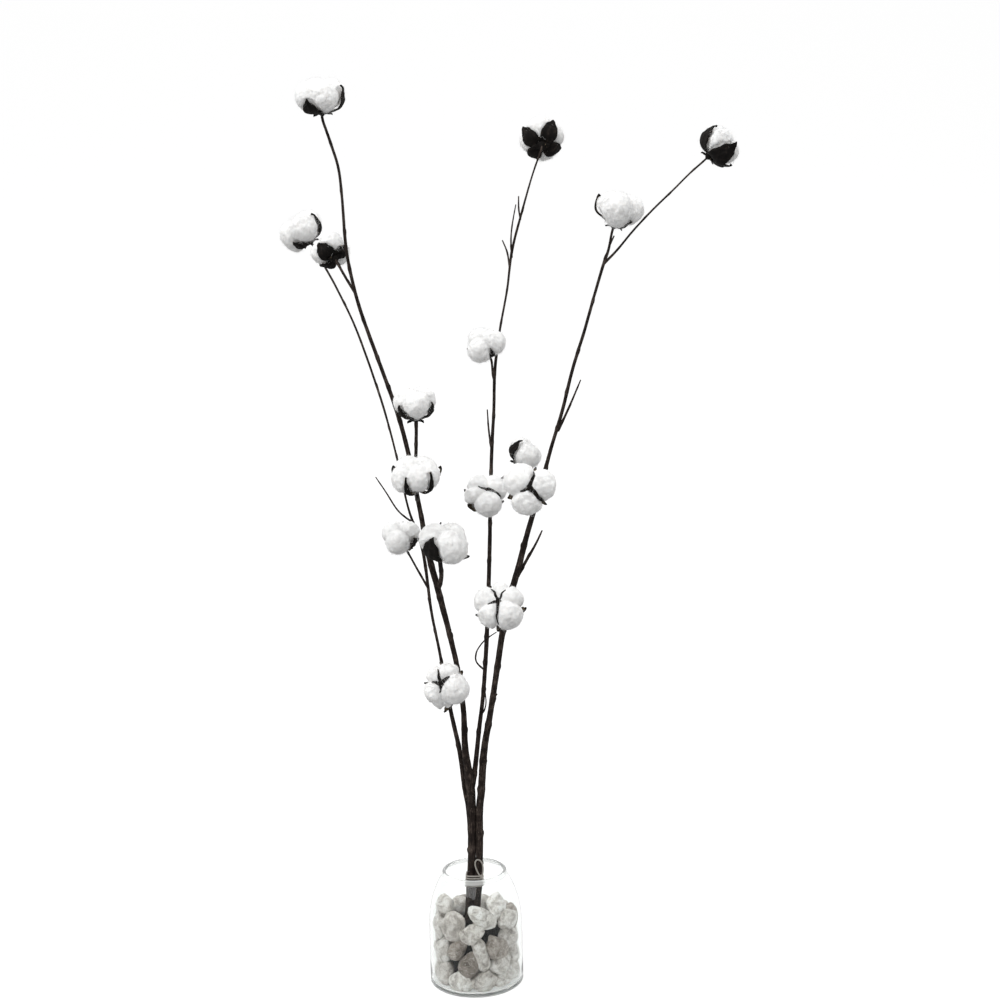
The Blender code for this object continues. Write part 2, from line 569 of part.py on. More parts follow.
def lock_lobes(valves, hang, number):
    """Middle direction, reach and radius of the cotton lock between each two valves."""
    draw = random.Random(SEED + 10 * number)
    lobes = []
    turns = valve_turns(valves)
    for here, after in zip(turns, turns[1:] + [turns[0] + 2 * math.pi]):
        spread = after - here
        turn = 0.5 * (here + after)
        fall = math.radians(hang + draw.uniform(-8, 8))
        reach = 0.47 + draw.uniform(-0.03, 0.04)
        radius = 0.55 * (spread / (0.5 * math.pi)) ** 0.18 + draw.uniform(-0.02, 0.03)
        lobes.append((direction(fall, turn) * reach, radius))
    for turn, fall, reach, radius in HANGING_LOCKS.get(number, []):
        lobes.append((direction(math.radians(fall), math.radians(turn)) * reach, radius))
    return lobes


def cotton_reach(way, lobes):
    """Distance from the boll's middle to the cotton's surface, in boll sizes."""
    total = CORE ** 10
    for middle, radius in lobes:
        along = middle.dot(way)
        reach = along + math.sqrt(max(along * along - middle.length_squared + radius * radius, 0.0))
        total += max(reach, 0.0) ** 10
    return total ** 0.1


def make_cotton(number, boll):
    """The locks of one boll as one body, with a furrow between each two locks."""
    centre, axis, size, valves = boll[:4]
    lobes = lock_lobes(valves, boll[4], number)
    frame = boll_frame(axis)
    turns = valve_turns(valves)
    columns = []
    per_lock = max(3, round(LOCK_SIDES / len(turns)))
    for here, after in zip(turns, turns[1:] + [turns[0] + 2 * math.pi]):
        columns += [here + (after - here) * k / per_lock for k in range(per_lock)]
    points = [direction(0, 0) * cotton_reach(direction(0, 0), lobes)]
    for i in range(1, LOCK_RINGS + 1):
        fall = math.pi * i / (LOCK_RINGS + 1)
        for turn in columns:
            way = direction(fall, turn)
            points.append(way * cotton_reach(way, lobes))
    points.append(direction(math.pi, 0) * cotton_reach(direction(math.pi, 0), lobes))
    count = len(columns)
    faces = []
    for k in range(count):
        nxt = (k + 1) % count
        faces.append((0, 1 + k, 1 + nxt))
        low = 1 + (LOCK_RINGS - 1) * count
        faces.append((len(points) - 1, low + nxt, low + k))
        for i in range(LOCK_RINGS - 1):
            row = 1 + i * count
            faces.append((row + k, row + count + k, row + count + nxt, row + nxt))
    points = [Vector(centre) + size * (frame @ p) for p in points]
    mesh_object(f"cotton_{number:02d}", points, faces, COTTON)


# Along one valve, from root to tip: how far along, and its half width in boll sizes.
VALVE_STATIONS = ((0.0, 0.10), (0.25, 0.27), (0.5, 0.36), (0.76, 0.27))
ROOT_FALL = math.radians(166)


def valve_reach(fall, turn, width, lobes):
    """Height of a valve's inner face: over the highest cotton that it crosses."""
    swing = math.asin(min(width / max(math.sin(fall), 0.4), 0.9))
    return max(cotton_reach(direction(fall, turn + s * swing), lobes) for s in (-1, -0.5, 0, 0.5, 1))


def make_valve(lobes, size, turn, breadth, tip_fall):
    """One dried valve: a curved, pointed blade that stands in the furrow between two locks."""
    points = []
    for part, full in VALVE_STATIONS:
        width = max(full * breadth, 0.10)
        fall = ROOT_FALL + (tip_fall - ROOT_FALL) * part
        out = direction(fall, turn)
        middle = out * (valve_reach(fall, turn, width, lobes) * size + VALVE_CLEAR)
        side = direction(math.pi / 2, turn + math.pi / 2) * width * size
        back = out * VALVE_THICKNESS
        points += [middle - side, middle + side]
        points += [middle - side + back, middle + back * 1.7, middle + side + back]
    reach = cotton_reach(direction(tip_fall, turn), lobes)
    tip = direction(tip_fall, turn) * (reach * size + 0.0042)
    points += [tip, tip + tip.normalized() * VALVE_THICKNESS]
    faces = [(0, 2, 3, 4, 1)]
    for i in range(len(VALVE_STATIONS) - 1):
        low = 5 * i
        high = low + 5
        faces.append((low, low + 1, high + 1, high))
        faces.append((low + 2, high + 2, high + 3, low + 3))
        faces.append((low + 3, high + 3, high + 4, low + 4))
        faces.append((low, high, high + 2, low + 2))
        faces.append((low + 1, low + 4, high + 4, high + 1))
    last = 5 * (len(VALVE_STATIONS) - 1)
    end = last + 5
    faces += [(last, last + 1, end), (last + 2, end + 1, last + 3), (last + 3, end + 1, last + 4)]
    faces += [(last, end, end + 1, last + 2), (last + 1, last + 4, end + 1, end)]
    return points, faces


def make_septum(centre, frame, lobes, size, turn, breadth, tip_fall):
    """The dark rib that runs on from a valve, down its furrow to the middle of the open boll."""
    part, full = VALVE_STATIONS[-1]
    width = max(full * breadth, 0.10)
    fall = ROOT_FALL + (tip_fall - ROOT_FALL) * part
    lift = SEPTUM_CLEAR + SEPTUM_RADIUS
    root = valve_reach(fall, turn, width, lobes) * size + VALVE_CLEAR + 0.7 * VALVE_THICKNESS
    stations = [(direction(fall, turn) * root, 0.0003)]
    rings = [math.pi * k / (LOCK_RINGS + 1) for k in (3, 2, 1)]
    for ring in [r for r in rings if r < fall - math.radians(12)]:
        way = direction(ring, turn)
        stations.append((way * (cotton_reach(way, lobes) * size + lift), SEPTUM_RADIUS))
    pole = direction(0.02, turn) * (cotton_reach(direction(0, 0), lobes) * size + lift)
    stations.append((pole, SEPTUM_RADIUS))
    return tube("septum", [(centre + frame @ p, r) for p, r in stations], 3, BUR)


def make_bur(number, boll):
    """The dark bur under one boll: pointed valves on a small receptacle, ribs and dry bracts."""
    centre, axis, size, valves, hang = boll[:5]
    lobes = lock_lobes(valves, hang, number)
    frame = boll_frame(axis)
    draw = random.Random(SEED + 20 * number)
    pieces = []
    for turn, breadth, tip in valves:
        turn = math.radians(turn)
        points, faces = make_valve(lobes, size, turn, breadth, math.radians(tip))
        points = [Vector(centre) + frame @ p for p in points]
        pieces.append(mesh_object("valve", points, faces, BUR))
        if number in STARS:
            pieces.append(make_septum(Vector(centre), frame, lobes, size, turn, breadth, math.radians(tip)))
    top = -(CORE * size + 0.0009)
    rings = [(top, 0.24 * size), (top - 0.0018, 0.24 * size), (top - 0.0030, 0.0024)]
    stations = [(Vector(centre) + frame @ Vector((0, 0, z)), r) for z, r in rings]
    receptacle = tube("receptacle", stations, 6, BUR)
    for k in range(BRACTS):
        turn = 2 * math.pi * (k + draw.uniform(-0.15, 0.15)) / BRACTS
        out = direction(math.pi / 2, turn)
        side = direction(math.pi / 2, turn + math.pi / 2) * 0.0016
        root = Vector((0, 0, top - 0.0012)) + out * 0.001
        end = Vector((0, 0, top - 0.0030)) + out * (0.24 * size + draw.uniform(0.0022, 0.0040))
        lift = Vector((0, 0, 0.0005))
        corners = [root - side - lift, root + side - lift, root - side + lift, root + side + lift,
                   end - side * 0.3 - lift, end + side * 0.3 - lift, end + lift]
        pieces.append(hull_object("bract", [Vector(centre) + frame @ p for p in corners], BUR))
    fuse(f"bur_{number:02d}", receptacle, pieces)


# ------------------------------------------------------------------ stems
def stalk_end(boll, radius):
    """The last points of a stalk, which meets the bur squarely and stops just short of it."""
    back = -Vector(boll[1]).normalized()
    base = boll_base(boll)
    return [(*(base + back * 0.005), radius), (*(base + back * GAP), radius)]


def stalks_of(stem):
    return [boll for boll in BOLLS if boll[5] == stem and boll[6]]


def tip_boll(stem):
    return next(boll for boll in BOLLS if boll[5] == stem and not boll[6])


def make_stem(name, trunk, sides, others):
    """A stem with its branches, twigs and boll stalks, fused into one body."""
    first = tube(name, smooth_route(trunk, STEM_SPACING), sides, BARK)
    limbs = [tube("limb", smooth_route(route, STEM_SPACING), 6, BARK) for route in others]
    for boll in stalks_of(name):
        route = boll[6] + stalk_end(boll, boll[6][-1][3])
        limbs.append(tube("stalk", smooth_route(route, TWIG_SPACING), 5, BARK))
    for owner, route in TWIGS:
        if owner == name:
            limbs.append(tube("twig", smooth_route(route, TWIG_SPACING), 4, BARK))
    fuse(name, first, limbs)


def make_stems():
    left = LEFT_STEM + stalk_end(tip_boll("left_stem"), 0.0011)
    make_stem("left_stem", left, 6, [])
    forked_tips = [boll for boll in BOLLS if boll[5] == "forked_stem" and not boll[6]]
    trunk = FORKED_STEM + stalk_end(forked_tips[0], 0.0012)
    middle = MIDDLE_BRANCH + stalk_end(forked_tips[1], 0.0009)
    make_stem("forked_stem", trunk, 8, [middle])
    right = RIGHT_STEM + stalk_end(tip_boll("right_stem"), 0.0011)
    branch = RIGHT_BRANCH + stalk_end(tip_boll("right_branch"), 0.0009)
    make_stem("right_stem", right, 8, [branch])


# ------------------------------------------------------------------ twine tie
def stem_at(route, height):
    """Middle and radius of a stem at a height."""
    stations = smooth_route(route, 0.008)
    for (low, thin), (high, thick) in zip(stations, stations[1:]):
        if low.z <= height <= high.z:
            part = (height - low.z) / (high.z - low.z)
            return low.lerp(high, part), thin + (thick - thin) * part
    return stations[0]


def wrap_point(turn, height, clear):
    """Point on a taut loop round the three stems, on the side facing the given turn."""
    out = Vector((math.cos(turn), math.sin(turn), 0))
    held = [stem_at(route, height) for route in (LEFT_STEM, FORKED_STEM, RIGHT_STEM)]
    middle, radius = max(held, key=lambda stem: stem[0].dot(out) + stem[1])
    return Vector((middle.x, middle.y, height)) + out * (radius + clear)


def make_tie():
    """Twine wound round the stems, with a knot at the right and a loop standing up from it."""
    points = []
    for i in range(round(TIE_TURNS * TIE_POINTS) + 1):
        turn = KNOT_TURN + 2 * math.pi * (i / TIE_POINTS - TIE_TURNS)
        height = TIE_BOTTOM + TIE_PITCH * i / TIE_POINTS
        points.append((wrap_point(turn, height, TWINE_RADIUS + 0.0007), TWINE_RADIUS))
    winding = tube("twine_tie", points, 4, TWINE)
    knot_middle = wrap_point(KNOT_TURN, points[-1][0].z, KNOT_RADIUS + 2 * GAP)
    knot = []
    for i in range(12):
        level = 1 - 2 * (i + 0.5) / 12
        ring = math.sqrt(1 - level * level)
        way = Vector((ring * math.cos(2.4 * i), ring * math.sin(2.4 * i), level))
        knot.append(knot_middle + KNOT_RADIUS * way)
    loop = []
    for i in range(11):
        turn = math.radians(-75 + 330 * i / 10)
        rise = LOOP_HEIGHT * (0.95 + math.sin(turn))
        sway = Vector((LOOP_WIDTH * math.cos(turn) - 0.16 * rise, -0.0008, rise))
        loop.append((knot_middle + sway, TWINE_RADIUS))
    fuse("twine_tie", winding, [hull_object("knot", knot, TWINE), tube("loop", loop, 4, TWINE)])


# ------------------------------------------------------------------ the whole bunch
make_jar()
make_foam()
make_pebbles()
make_stems()
for number, boll in enumerate(BOLLS, 1):
    make_bur(number, boll)
    make_cotton(number, boll)
make_tie()
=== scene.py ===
"""The looks of the cotton stem bunch: raw cotton in dried burs, bark, a glass jar of pebbles."""
import math
import random
from functools import partial

import bmesh
import bpy
from mathutils import Matrix, Vector, noise


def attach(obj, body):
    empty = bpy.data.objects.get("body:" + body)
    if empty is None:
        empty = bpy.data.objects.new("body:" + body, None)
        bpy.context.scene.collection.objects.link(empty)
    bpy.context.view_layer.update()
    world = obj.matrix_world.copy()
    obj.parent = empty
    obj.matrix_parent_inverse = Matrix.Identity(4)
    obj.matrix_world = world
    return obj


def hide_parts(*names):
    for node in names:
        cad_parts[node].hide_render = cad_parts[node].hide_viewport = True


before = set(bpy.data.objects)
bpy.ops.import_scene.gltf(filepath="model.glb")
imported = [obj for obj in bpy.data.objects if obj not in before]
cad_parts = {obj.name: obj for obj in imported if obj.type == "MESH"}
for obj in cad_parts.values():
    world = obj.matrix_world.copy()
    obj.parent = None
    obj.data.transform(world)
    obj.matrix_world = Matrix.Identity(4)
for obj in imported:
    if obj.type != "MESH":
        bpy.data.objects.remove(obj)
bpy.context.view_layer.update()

# ------------------------------------------------------------------ sizes that the part has too
GAP = 0.0003
SEED = 7
JAR_RADIUS = 0.048
JAR_WALL = 0.0025
JAR_FLOOR = 0.003
JAR_CORNER = 0.0020
SHOULDER = ((0.048, 0.058), (0.048, 0.090), (0.039, 0.104), (0.0334, 0.1139))
FOAM_RADIUS = 0.026
FOAM_TOP = 0.060
PEBBLE_RING_LENGTH = 0.226
PEBBLE_COUNT = 28
PEBBLE_TOP = 0.066
TWINE_RADIUS = 0.0008
TIE_BOTTOM = 0.1015
TIE_TURNS = 4.4
TIE_PITCH = 0.0026
KNOT_RADIUS = 0.0019
KNOT_TURN = math.radians(-65)
LOOP_WIDTH = 0.0036
VALVE_CLEAR = 0.0013
CORE = 0.50
ROOT_FALL = math.radians(166)
VALVE_STATIONS = ((0.0, 0.10), (0.25, 0.27), (0.5, 0.36), (0.76, 0.27))
BRACTS = 2

# ------------------------------------------------------------------ sizes of the looks alone
FLOOR = -0.0002
INNER_CORNER = 0.0030  # rounding between the jar's wall and its floor, inside
RIM_CENTRE = (0.0311, 0.1168)
RIM_BEAD = 0.0019  # the plain part has a rounder bead; this is the thin lip that it stands for
RIM_START = 0.1150  # the glass is milky above this height, a painted highlight on the lip
BASE_TOP = 0.0046  # and below this one, painted light along the base
FOAM_SIDE = FOAM_RADIUS + 0.0008  # nearest to the jar's middle that a stone comes beside the foam
TOP_INNER = 0.0150  # a stone lying on top comes this near to the jar's middle
SETTLING_STEPS = 400
SETTLING_DROP = 0.0004
STONE_CUTS = 10  # flats worn on each stone
CUT_SHARPNESS = 26
LOOP_HEIGHT = 0.0094
KNOT_SPREAD = 0.00062  # the knot is a trefoil, which reaches three times this far
TWINE_HAIRS = 160
PLY_LAY = 0.0034  # length in which a ply goes round the twine once
PLY_RADIUS = 0.00044
PLY_OFFSET = 0.00040
FLUFF = 0.0017  # how far the cotton stands off the plain form of its locks
LOOSE_FIBRES = 3600  # on each boll
LOCK_BLEND = 10  # the higher it is, the sharper the furrow between two locks
BARK_SWELL = 1.07  # bark fills the hair's breadth left between the plain stems where they are tied

# Stem routes, bottom to top: x, y, z and radius. They are given as points and smoothed in code.
LEFT_STEM = [
    (-0.0092, 0.0076, 0.0403, 0.0022), (-0.0082, 0.0076, 0.061, 0.0022), (-0.0044, 0.0076, 0.1175, 0.0022),
    (-0.0034, 0.0076, 0.150, 0.0022), (-0.0049, 0.0074, 0.182, 0.0022), (-0.008, 0.0075, 0.204, 0.0022),
    (-0.012, 0.008, 0.243, 0.0022), (-0.020, 0.011, 0.285, 0.0020), (-0.030, 0.016, 0.347, 0.0014),
    (-0.037, 0.020, 0.387, 0.0014), (-0.044, 0.026, 0.448, 0.0016), (-0.057, 0.031, 0.489, 0.0011),
    (-0.065, 0.036, 0.529, 0.0010), (-0.074, 0.042, 0.569, 0.0010), (-0.085, 0.048, 0.609, 0.0011),
    (-0.105, 0.056, 0.669, 0.0010), (-0.123, 0.062, 0.709, 0.0010), (-0.135, 0.0655, 0.732, 0.0010),
]
FORKED_STEM = [
    (-0.0088, 0.0, 0.0403, 0.0039), (-0.0075, 0.0, 0.061, 0.0039), (-0.0030, 0.0, 0.1175, 0.0039),
    (-0.0015, 0.0, 0.150, 0.0039), (-0.0010, 0.0, 0.182, 0.0040), (-0.0018, -0.001, 0.212, 0.0041),
    (-0.0058, -0.003, 0.247, 0.0032), (-0.0065, -0.006, 0.290, 0.0026), (-0.011, -0.009, 0.332, 0.0024),
    (-0.019, -0.012, 0.374, 0.0026), (-0.028, -0.016, 0.416, 0.0030), (-0.037, -0.020, 0.457, 0.0028),
    (-0.043, -0.025, 0.498, 0.0022), (-0.053, -0.032, 0.559, 0.0021), (-0.062, -0.037, 0.598, 0.0019),
    (-0.074, -0.043, 0.637, 0.0017), (-0.092, -0.051, 0.695, 0.0016), (-0.100, -0.056, 0.733, 0.0015),
    (-0.103, -0.060, 0.761, 0.0014), (-0.104, -0.064, 0.797, 0.0012), (-0.106, -0.067, 0.825, 0.0012),
    (-0.111, -0.069, 0.845, 0.0012),
]
MIDDLE_BRANCH = [
    (-0.0018, 0.0, 0.196, 0.0030), (0.0035, 0.002, 0.226, 0.0025), (0.0085, 0.006, 0.265, 0.0021),
    (0.014, 0.010, 0.305, 0.0020), (0.019, 0.017, 0.366, 0.0021), (0.023, 0.025, 0.436, 0.0020),
    (0.025, 0.031, 0.487, 0.0018), (0.028, 0.038, 0.547, 0.0017), (0.031, 0.043, 0.586, 0.0015),
    (0.033, 0.048, 0.626, 0.0015), (0.039, 0.053, 0.666, 0.0011), (0.047, 0.058, 0.705, 0.0010),
    (0.053, 0.063, 0.744, 0.0012), (0.064, 0.067, 0.783, 0.0010), (0.075, 0.0705, 0.818, 0.0008),
]
RIGHT_STEM = [
    (-0.0008, -0.001, 0.0403, 0.0035), (0.0004, -0.001, 0.061, 0.0035), (0.0048, -0.001, 0.1175, 0.0035),
    (0.0063, -0.001, 0.150, 0.0035), (0.0070, -0.001, 0.182, 0.0035), (0.0095, -0.002, 0.205, 0.0035),
    (0.0133, -0.004, 0.247, 0.0033), (0.021, -0.007, 0.289, 0.0028), (0.028, -0.010, 0.331, 0.0028),
    (0.038, -0.014, 0.389, 0.0030), (0.051, -0.018, 0.435, 0.0030), (0.062, -0.022, 0.475, 0.0025),
    (0.074, -0.026, 0.515, 0.0022), (0.085, -0.030, 0.555, 0.0017), (0.097, -0.034, 0.594, 0.0016),
    (0.107, -0.038, 0.633, 0.0015), (0.119, -0.042, 0.671, 0.0014), (0.130, -0.046, 0.709, 0.0013),
    (0.138, -0.049, 0.735, 0.0014), (0.142, -0.050, 0.746, 0.0012),
]
RIGHT_BRANCH = [
    (0.1375, -0.049, 0.733, 0.0013), (0.150, -0.046, 0.745, 0.0010), (0.166, -0.042, 0.763, 0.0009),
    (0.185, -0.037, 0.782, 0.0009), (0.205, -0.032, 0.800, 0.0008), (0.220, -0.028, 0.814, 0.0008),
]

# Bare side twigs: the stem each grows from, and its route out from that stem.
TWIGS = [
    ("left_stem", [(-0.0520, 0.0290, 0.476, 0.0011), (-0.0600, 0.0295, 0.481, 0.0009),
                   (-0.0690, 0.0300, 0.490, 0.0008), (-0.079, 0.030, 0.507, 0.0007),
                   (-0.089, 0.030, 0.523, 0.0005)]),
    ("left_stem", [(-0.0195, 0.011, 0.282, 0.0012), (-0.0238, 0.0098, 0.291, 0.0006)]),
    ("forked_stem", [(0.050, 0.0605, 0.727, 0.0009), (0.048, 0.0635, 0.742, 0.0008),
                     (0.0435, 0.066, 0.754, 0.0006)]),
    ("forked_stem", [(0.0525, 0.0625, 0.737, 0.0010), (0.0520, 0.0590, 0.754, 0.0008),
                     (0.0535, 0.0565, 0.769, 0.0007), (0.0575, 0.054, 0.789, 0.0005)]),
    ("forked_stem", [(0.0620, 0.0665, 0.774, 0.0009), (0.0605, 0.0690, 0.785, 0.0008),
                     (0.0607, 0.0715, 0.797, 0.0006)]),
    ("forked_stem", [(0.028, 0.037, 0.544, 0.0011), (0.0255, 0.0345, 0.567, 0.0009),
                     (0.0245, 0.0335, 0.588, 0.0006)]),
    ("forked_stem", [(0.0152, 0.0115, 0.326, 0.0009), (0.0095, 0.003, 0.334, 0.0008),
                     (0.0070, -0.002, 0.341, 0.0008), (0.0085, -0.0045, 0.350, 0.0007),
                     (0.0145, -0.0055, 0.359, 0.0007), (0.0215, -0.0045, 0.3645, 0.0006),
                     (0.0285, -0.0025, 0.3685, 0.0005)]),
    ("forked_stem", [(0.0105, 0.0075, 0.279, 0.0009), (0.0150, 0.0030, 0.288, 0.0007),
                     (0.0163, 0.0020, 0.296, 0.0006), (0.0155, 0.0030, 0.306, 0.0005)]),
    ("right_stem", [(0.0505, -0.0178, 0.428, 0.0018), (0.0605, -0.0130, 0.4445, 0.0014),
                    (0.0695, -0.0090, 0.459, 0.0011), (0.0760, -0.0060, 0.4715, 0.0007)]),
    ("right_stem", [(0.0925, -0.0328, 0.574, 0.0014), (0.1010, -0.036, 0.592, 0.0011),
                    (0.1080, -0.039, 0.608, 0.0009), (0.1145, -0.042, 0.6235, 0.0006)]),
    ("right_stem", [(0.0232, -0.0080, 0.302, 0.0018), (0.0275, -0.0082, 0.3062, 0.0008)]),
    ("right_stem", [(0.143, -0.0500, 0.750, 0.0010), (0.1475, -0.0480, 0.7585, 0.0006)]),
]

# Bolls: middle; direction it opens in; size; its valves; how far from that direction the cotton
# locks hang (degrees); the stem it grows from; and the route of its stalk. A stalk with no route is
# the end of the stem or branch itself. A valve is the direction round the boll in which it stands
# (degrees, 0 along +X), its breadth, and how near the open end its tip reaches (degrees).
BOLLS = [
    ((-0.1196, -0.072, 0.8885), (-0.05, -0.20, 0.95), 0.0215,
     ((-118, 1.15, 80), (-10, 0.95, 60), (70, 0.40, 70), (158, 0.40, 60)), 74, "forked_stem", []),
    ((-0.1550, 0.066, 0.7672), (-0.50, -0.10, 0.80), 0.0208,
     ((-8, 0.80, 58), (100, 0.40, 66), (-128, 1.20, 96)), 76, "left_stem", []),
    ((-0.1189, -0.030, 0.7496), (-0.36, 0.70, 0.60), 0.0175,
     ((-130, 1.35, 86), (-38, 1.20, 110), (128, 1.10, 84)), 72, "forked_stem",
     [(-0.0965, -0.0535, 0.712, 0.0013), (-0.1030, -0.0495, 0.7225, 0.0012)]),
    ((-0.0428, -0.056, 0.6025), (0.0, -0.15, 1.0), 0.0200,
     ((-24, 1.10, 68), (98, 0.40, 70), (-140, 1.30, 74)), 62, "forked_stem",
     [(-0.0482, -0.0285, 0.529, 0.0017), (-0.0452, -0.0345, 0.549, 0.0016)]),
    ((-0.0442, -0.061, 0.5360), (0.0, -0.30, 0.92), 0.0225,
     ((-112, 0.45, 64), (-48, 0.45, 58), (8, 0.40, 66), (90, 0.35, 70), (172, 0.60, 62)), 72, "forked_stem",
     [(-0.0452, -0.0265, 0.508, 0.0018)]),
    ((-0.0641, 0.003, 0.4650), (-0.34, -0.35, 0.85), 0.0180,
     ((-30, 1.05, 84), (75, 0.35, 70), (-172, 0.35, 104)), 76, "left_stem",
     [(-0.0398, 0.0225, 0.410, 0.0012), (-0.0500, 0.0165, 0.4315, 0.0010)]),
    ((-0.0197, -0.051, 0.4700), (0.20, -0.20, 0.90), 0.0225,
     ((-126, 1.35, 60), (-6, 0.35, 106), (112, 0.40, 50)), 70, "forked_stem",
     [(-0.0278, -0.0165, 0.417, 0.0022), (-0.0240, -0.0275, 0.432, 0.0021)]),
    ((0.0853, 0.082, 0.8515), (0.06, 0.88, 0.45), 0.0215,
     ((-148, 1.15, 82), (-58, 1.15, 78), (27, 1.20, 86), (129, 1.00, 92)), 70, "forked_stem", []),
    ((0.0243, 0.026, 0.6522), (-0.30, -0.35, 0.85), 0.0185,
     ((-68, 0.50, 80), (52, 0.40, 70), (178, 0.50, 80)), 76, "forked_stem",
     [(0.0325, 0.0465, 0.612, 0.0013), (0.0308, 0.040, 0.6235, 0.0011)]),
    ((0.0208, 0.000, 0.5068), (0.20, -0.80, 0.56), 0.0205,
     ((-140, 0.80, 82), (-20, 0.55, 82), (92, 0.40, 96), (165, 0.40, 96)), 74, "forked_stem",
     [(0.0246, 0.0300, 0.482, 0.0015), (0.0220, 0.0225, 0.4905, 0.0014)]),
    ((0.0596, 0.030, 0.5409), (0.65, -0.10, 0.70), 0.0170,
     ((-20, 0.40, 98), (85, 0.40, 80), (-158, 1.10, 48)), 66, "forked_stem",
     [(0.0257, 0.0330, 0.506, 0.0011), (0.0345, 0.0330, 0.515, 0.0010)]),
    ((0.0625, -0.0615, 0.5235), (0.02, -0.95, 0.20), 0.0242,
     ((-46, 0.40, 90), (70, 0.40, 92), (206, 0.55, 84)), 72, "right_stem",
     [(0.0690, -0.0245, 0.500, 0.0017), (0.0640, -0.0335, 0.5125, 0.0015)]),
    ((0.2480, -0.018, 0.8375), (0.70, 0.05, 0.62), 0.0190,
     ((-68, 1.45, 52), (-4, 1.20, 92), (92, 0.45, 50), (-156, 1.25, 54)), 66, "right_branch", []),
    ((0.1502, -0.058, 0.7797), (0.28, -0.10, 0.95), 0.0205,
     ((-38, 0.45, 100), (62, 0.40, 70), (172, 0.45, 60)), 60, "right_stem", []),
    ((0.0327, -0.0565, 0.4062), (-0.10, -0.80, 0.60), 0.0245,
     ((-97, 0.40, 80), (-6, 0.60, 78), (62, 0.40, 92), (112, 0.40, 92), (192, 0.45, 92)), 72, "right_stem",
     [(0.0360, -0.0135, 0.380, 0.0019), (0.0356, -0.0270, 0.3885, 0.0017)]),
    ((-0.0213, -0.038, 0.3251), (-0.34, -0.86, 0.36), 0.0215,
     ((168, 0.40, 92), (-100, 0.55, 92), (40, 0.45, 92), (108, 0.40, 92)), 72, "left_stem",
     [(-0.0205, 0.0108, 0.287, 0.0015), (-0.0200, -0.004, 0.298, 0.0013), (-0.0132, -0.0180, 0.310, 0.0012)]),
]
# Bolls whose locks have parted, so that the dark ribs between them show as a star.
STARS = (10, 12, 15, 16)
# How far along its furrow each arm of a star shows, valve by valve.
STAR_ARMS = {10: (0.15, 0.95, 0.12, 0.38), 12: (0.95, 0.62, 0.34), 15: (0.85, 0.15, 0.46, 0.50, 0.34),
             16: (0.42, 0.36, 0.40, 0.55)}
# Thickness of each star's ribs, against the plainest.
STAR_RIBS = {10: 0.9, 12: 1.35, 15: 1.0, 16: 1.55}
# Locks that hang out of line: the boll, then the direction round it and from the way it opens
# (degrees), and their reach and radius in boll sizes.
HANGING_LOCKS = {
    2: [(163, 117, 0.74, 0.31)],
    7: [(-55, 96, 0.54, 0.53), (-12, 98, 0.52, 0.50)],
    14: [(170, 66, 0.62, 0.40), (5, 62, 0.66, 0.40), (-90, 96, 0.36, 0.52)],
    16: [(-110, 98, 0.66, 0.40)],
}

# Stones against the glass at the front: turn round the jar (degrees), height of the middle, half
# length, half width, and lean of the length from level (degrees).
FRONT_STONES = [
    (-77, 0.0785, 0.0148, 0.0080, -42), (-24, 0.0700, 0.0132, 0.0100, 10), (-128, 0.0690, 0.0132, 0.0122, 70),
    (-94, 0.0640, 0.0112, 0.0096, 15), (-172, 0.0600, 0.0132, 0.0100, 85), (-25, 0.0515, 0.0122, 0.0108, 20),
    (-154, 0.0400, 0.0126, 0.0096, 80), (-121, 0.0462, 0.0108, 0.0086, 65),
    (-55, 0.0470, 0.0136, 0.0104, -50),
    (-81, 0.0405, 0.0150, 0.0082, -72), (-101, 0.0312, 0.0124, 0.0094, 70), (-47, 0.0280, 0.0114, 0.0098, 30),
    (-5, 0.0280, 0.0130, 0.0096, 90), (-152, 0.0145, 0.0128, 0.0104, 80), (-115, 0.0128, 0.0122, 0.0112, 45),
    (-76, 0.0130, 0.0126, 0.0112, 15), (-38, 0.0100, 0.0114, 0.0088, 5), (-8, 0.0110, 0.0096, 0.0086, 0),
    (-178, 0.0330, 0.0112, 0.0092, 85),
]


# ------------------------------------------------------------------ materials
def linear(colour):
    """Linear RGBA of an sRGB hex colour."""
    channels = [int(colour[i:i + 2], 16) / 255 for i in (1, 3, 5)]
    return (*[c / 12.92 if c <= 0.04045 else ((c + 0.055) / 1.055) ** 2.4 for c in channels], 1.0)


def per_metre(millimetres):
    """Texture scale at which one cell of the pattern is this large."""
    return 1000 / millimetres


def feed(node, **inputs):
    """Set a node's inputs, or link those that are given as a (node, output) pair."""
    for name, value in inputs.items():
        socket = node.inputs[name.replace("_", " ")]
        if isinstance(value, tuple) and isinstance(value[0], bpy.types.Node):
            node.id_data.links.new(value[0].outputs[value[1]], socket)
        else:
            socket.default_value = value


def add_node(tree, kind, settings=(), stops=(), **inputs):
    """A shader node with its settings, its inputs and, on a colour ramp, (place, hex colour) stops."""
    made = tree.nodes.new("ShaderNode" + kind)
    for name, value in dict(settings).items():
        setattr(made, name, value)
    if stops:
        elements = made.color_ramp.elements
        while len(elements) < len(stops):
            elements.new(0.5)
        for element, (position, colour) in zip(elements, stops):
            element.position = position
            element.color = linear(colour)
    feed(made, **inputs)
    return made


def new_material(name, **surface):
    """A material, what adds a node to it, and its Principled shader with its constants."""
    made = bpy.data.materials.new(name)
    made.use_nodes = True
    shader = made.node_tree.nodes["Principled BSDF"]
    feed(shader, **surface)
    return made, partial(add_node, made.node_tree), shader


